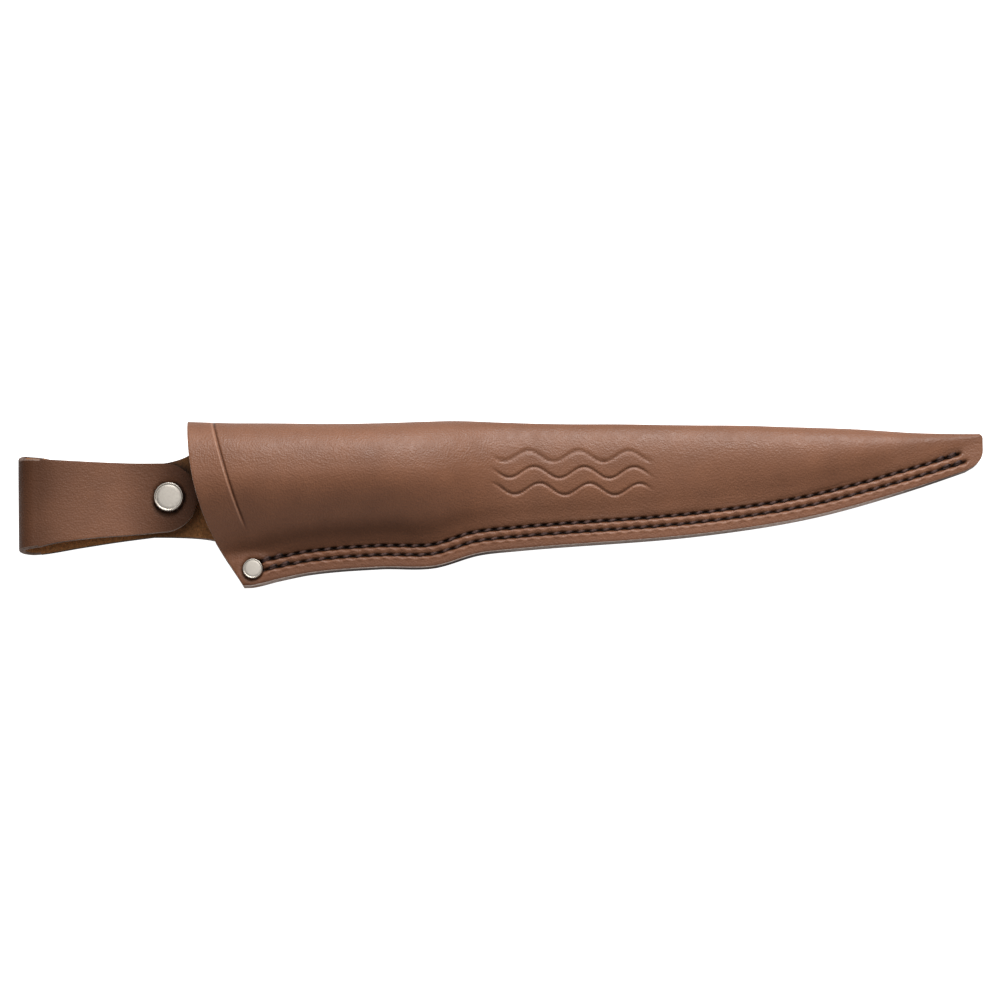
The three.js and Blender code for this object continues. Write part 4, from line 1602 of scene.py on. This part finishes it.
@dataclass(frozen=True)
class Studio:
    """Floor, lights and camera of a product photograph taken from above."""

    elevation: float = math.radians(80.5)
    lens: float = 135.0
    frame_width: float = 0.340
    aim: tuple[float, float, float] = (-0.0006, 0.0011, 0.008)
    floor_colour: str = "f7f7f7"
    floor_half: float = 4.0
    floor_drop: float = 0.0002
    air: float = 0.26

    def build(self) -> None:
        """Sets up the floor, the lights and the camera."""
        self.floor()
        self.light("key_softbox", (0.2, 0.85, 0.75), (1.0, 0.45), 14.2)
        self.light("top_softbox", (0.0, 0.25, 1.6), (0.9, 0.9), 2.2)
        world = bpy.data.worlds.new("studio_air")
        bpy.context.scene.world = world
        world.use_nodes = True
        background = world.node_tree.nodes["Background"]
        background.inputs["Color"].default_value = linear("ffffff")
        background.inputs["Strength"].default_value = self.air
        self.camera()
        bpy.context.scene.view_settings.view_transform = "Standard"

    def floor(self) -> None:
        """A wide pale floor that the camera sees as white paper."""
        mesh = bmesh.new()
        bmesh.ops.create_grid(mesh, x_segments=1, y_segments=1, size=self.floor_half)
        bmesh.ops.translate(mesh, verts=mesh.verts[:], vec=Vector((0, 0, -self.floor_drop)))
        coat = Coat("white_paper")
        seen = coat.add("LightPath", output="Is Camera Ray")
        glow = {"Emission Strength": seen, "Emission Color": linear("ffffff")}
        paper = coat.finish({"Base Color": linear(self.floor_colour), "Roughness": 0.9, **glow})
        finish_object(mesh, "floor", (paper,), smooth=False)

    def light(self, name: str, place: Sequence[float], size: tuple[float, float], power: float) -> None:
        """Adds one soft light aimed at the sheath.

        Args:
            name: The light's name.
            place: Where it hangs, in metres.
            size: Width and depth of its panel.
            power: Watts.
        """
        data = bpy.data.lights.new(name, "AREA")
        data.shape = "RECTANGLE"
        data.size, data.size_y = size
        data.energy = power
        lamp = bpy.data.objects.new(name, data)
        lamp.location = place
        lamp.rotation_euler = (Vector(self.aim) - Vector(place)).to_track_quat("-Z", "Y").to_euler()
        bpy.context.scene.collection.objects.link(lamp)

    def camera(self) -> None:
        """Hangs the camera over the sheath at the photograph's angle."""
        data = bpy.data.cameras.new("camera")
        data.lens = self.lens
        data.sensor_width = 36.0
        distance = self.frame_width * self.lens / data.sensor_width
        back = Vector((0, -math.cos(self.elevation), math.sin(self.elevation)))
        camera = bpy.data.objects.new("camera", data)
        camera.location = Vector(self.aim) + back * distance
        camera.rotation_euler = (math.pi / 2 - self.elevation, 0, 0)
        bpy.context.scene.collection.objects.link(camera)
        bpy.context.scene.camera = camera


@dataclass
class Sheath:
    """The whole dressed sheath."""

    form: SheathForm = field(default_factory=SheathForm)
    snap_sink: float = 0.3
    rivet_sink: float = 0.1

    def build(self, nodes: dict[str, bpy.types.Object]) -> None:
        """Makes every visible piece and paints the solids that stay.

        Args:
            nodes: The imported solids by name.
        """
        form = self.form
        axes = SheathAxes.from_frame(form.snap_x)
        looks = Looks(axes)
        leathers = (
            PocketLeather("pocket_leather", form, axes),
            FoldLeather("belt_fold_leather", form, axes),
            FlapLeather("belt_flap_leather", form, axes),
        )
        for sheet in leathers:
            LOG.info("made %s", sheet.build(looks).name)
        for side, front in (("front", True), ("back", False)):
            for row, inner in (("inner", True), ("outer", False)):
                thread = StitchRow(f"{row}_thread_{side}", f"stitch_{row}_{side}", form, axes, inner, front)
                LOG.info("made %s", thread.build(looks).name)
        flap_face = form.flap_top(form.snap_x) * MM
        seam_face = form.seam_front(form.corner[0] + form.rivet_in) * MM
        for cap, seat in (
            (TurnedCap("snap_cap_nickel", "snap_cap", "flap"), flap_face - self.snap_sink * MM),
            (TurnedCap("rivet_cap_nickel", "rivet_cap", "sheath"), seam_face - self.rivet_sink * MM),
        ):
            LOG.info("made %s", cap.build(looks, seat).name)
        for name in ("rivet_post", "snap_socket", "snap_spring", "snap_stud", "snap_post"):
            self.paint(nodes[name], looks.nickel)
        self.paint(nodes["welt"], looks.welt)

    @staticmethod
    def paint(node: bpy.types.Object, material: bpy.types.Material) -> None:
        """Gives a solid that stays its finish."""
        node.data.materials.clear()
        node.data.materials.append(material)


def main() -> None:
    """Builds the dressed sheath and its studio."""
    logging.basicConfig(level=logging.INFO, format="%(name)s: %(message)s")
    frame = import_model()
    Sheath().build(frame["nodes"])
    Studio().build()


if __name__ == "__main__":
    main()
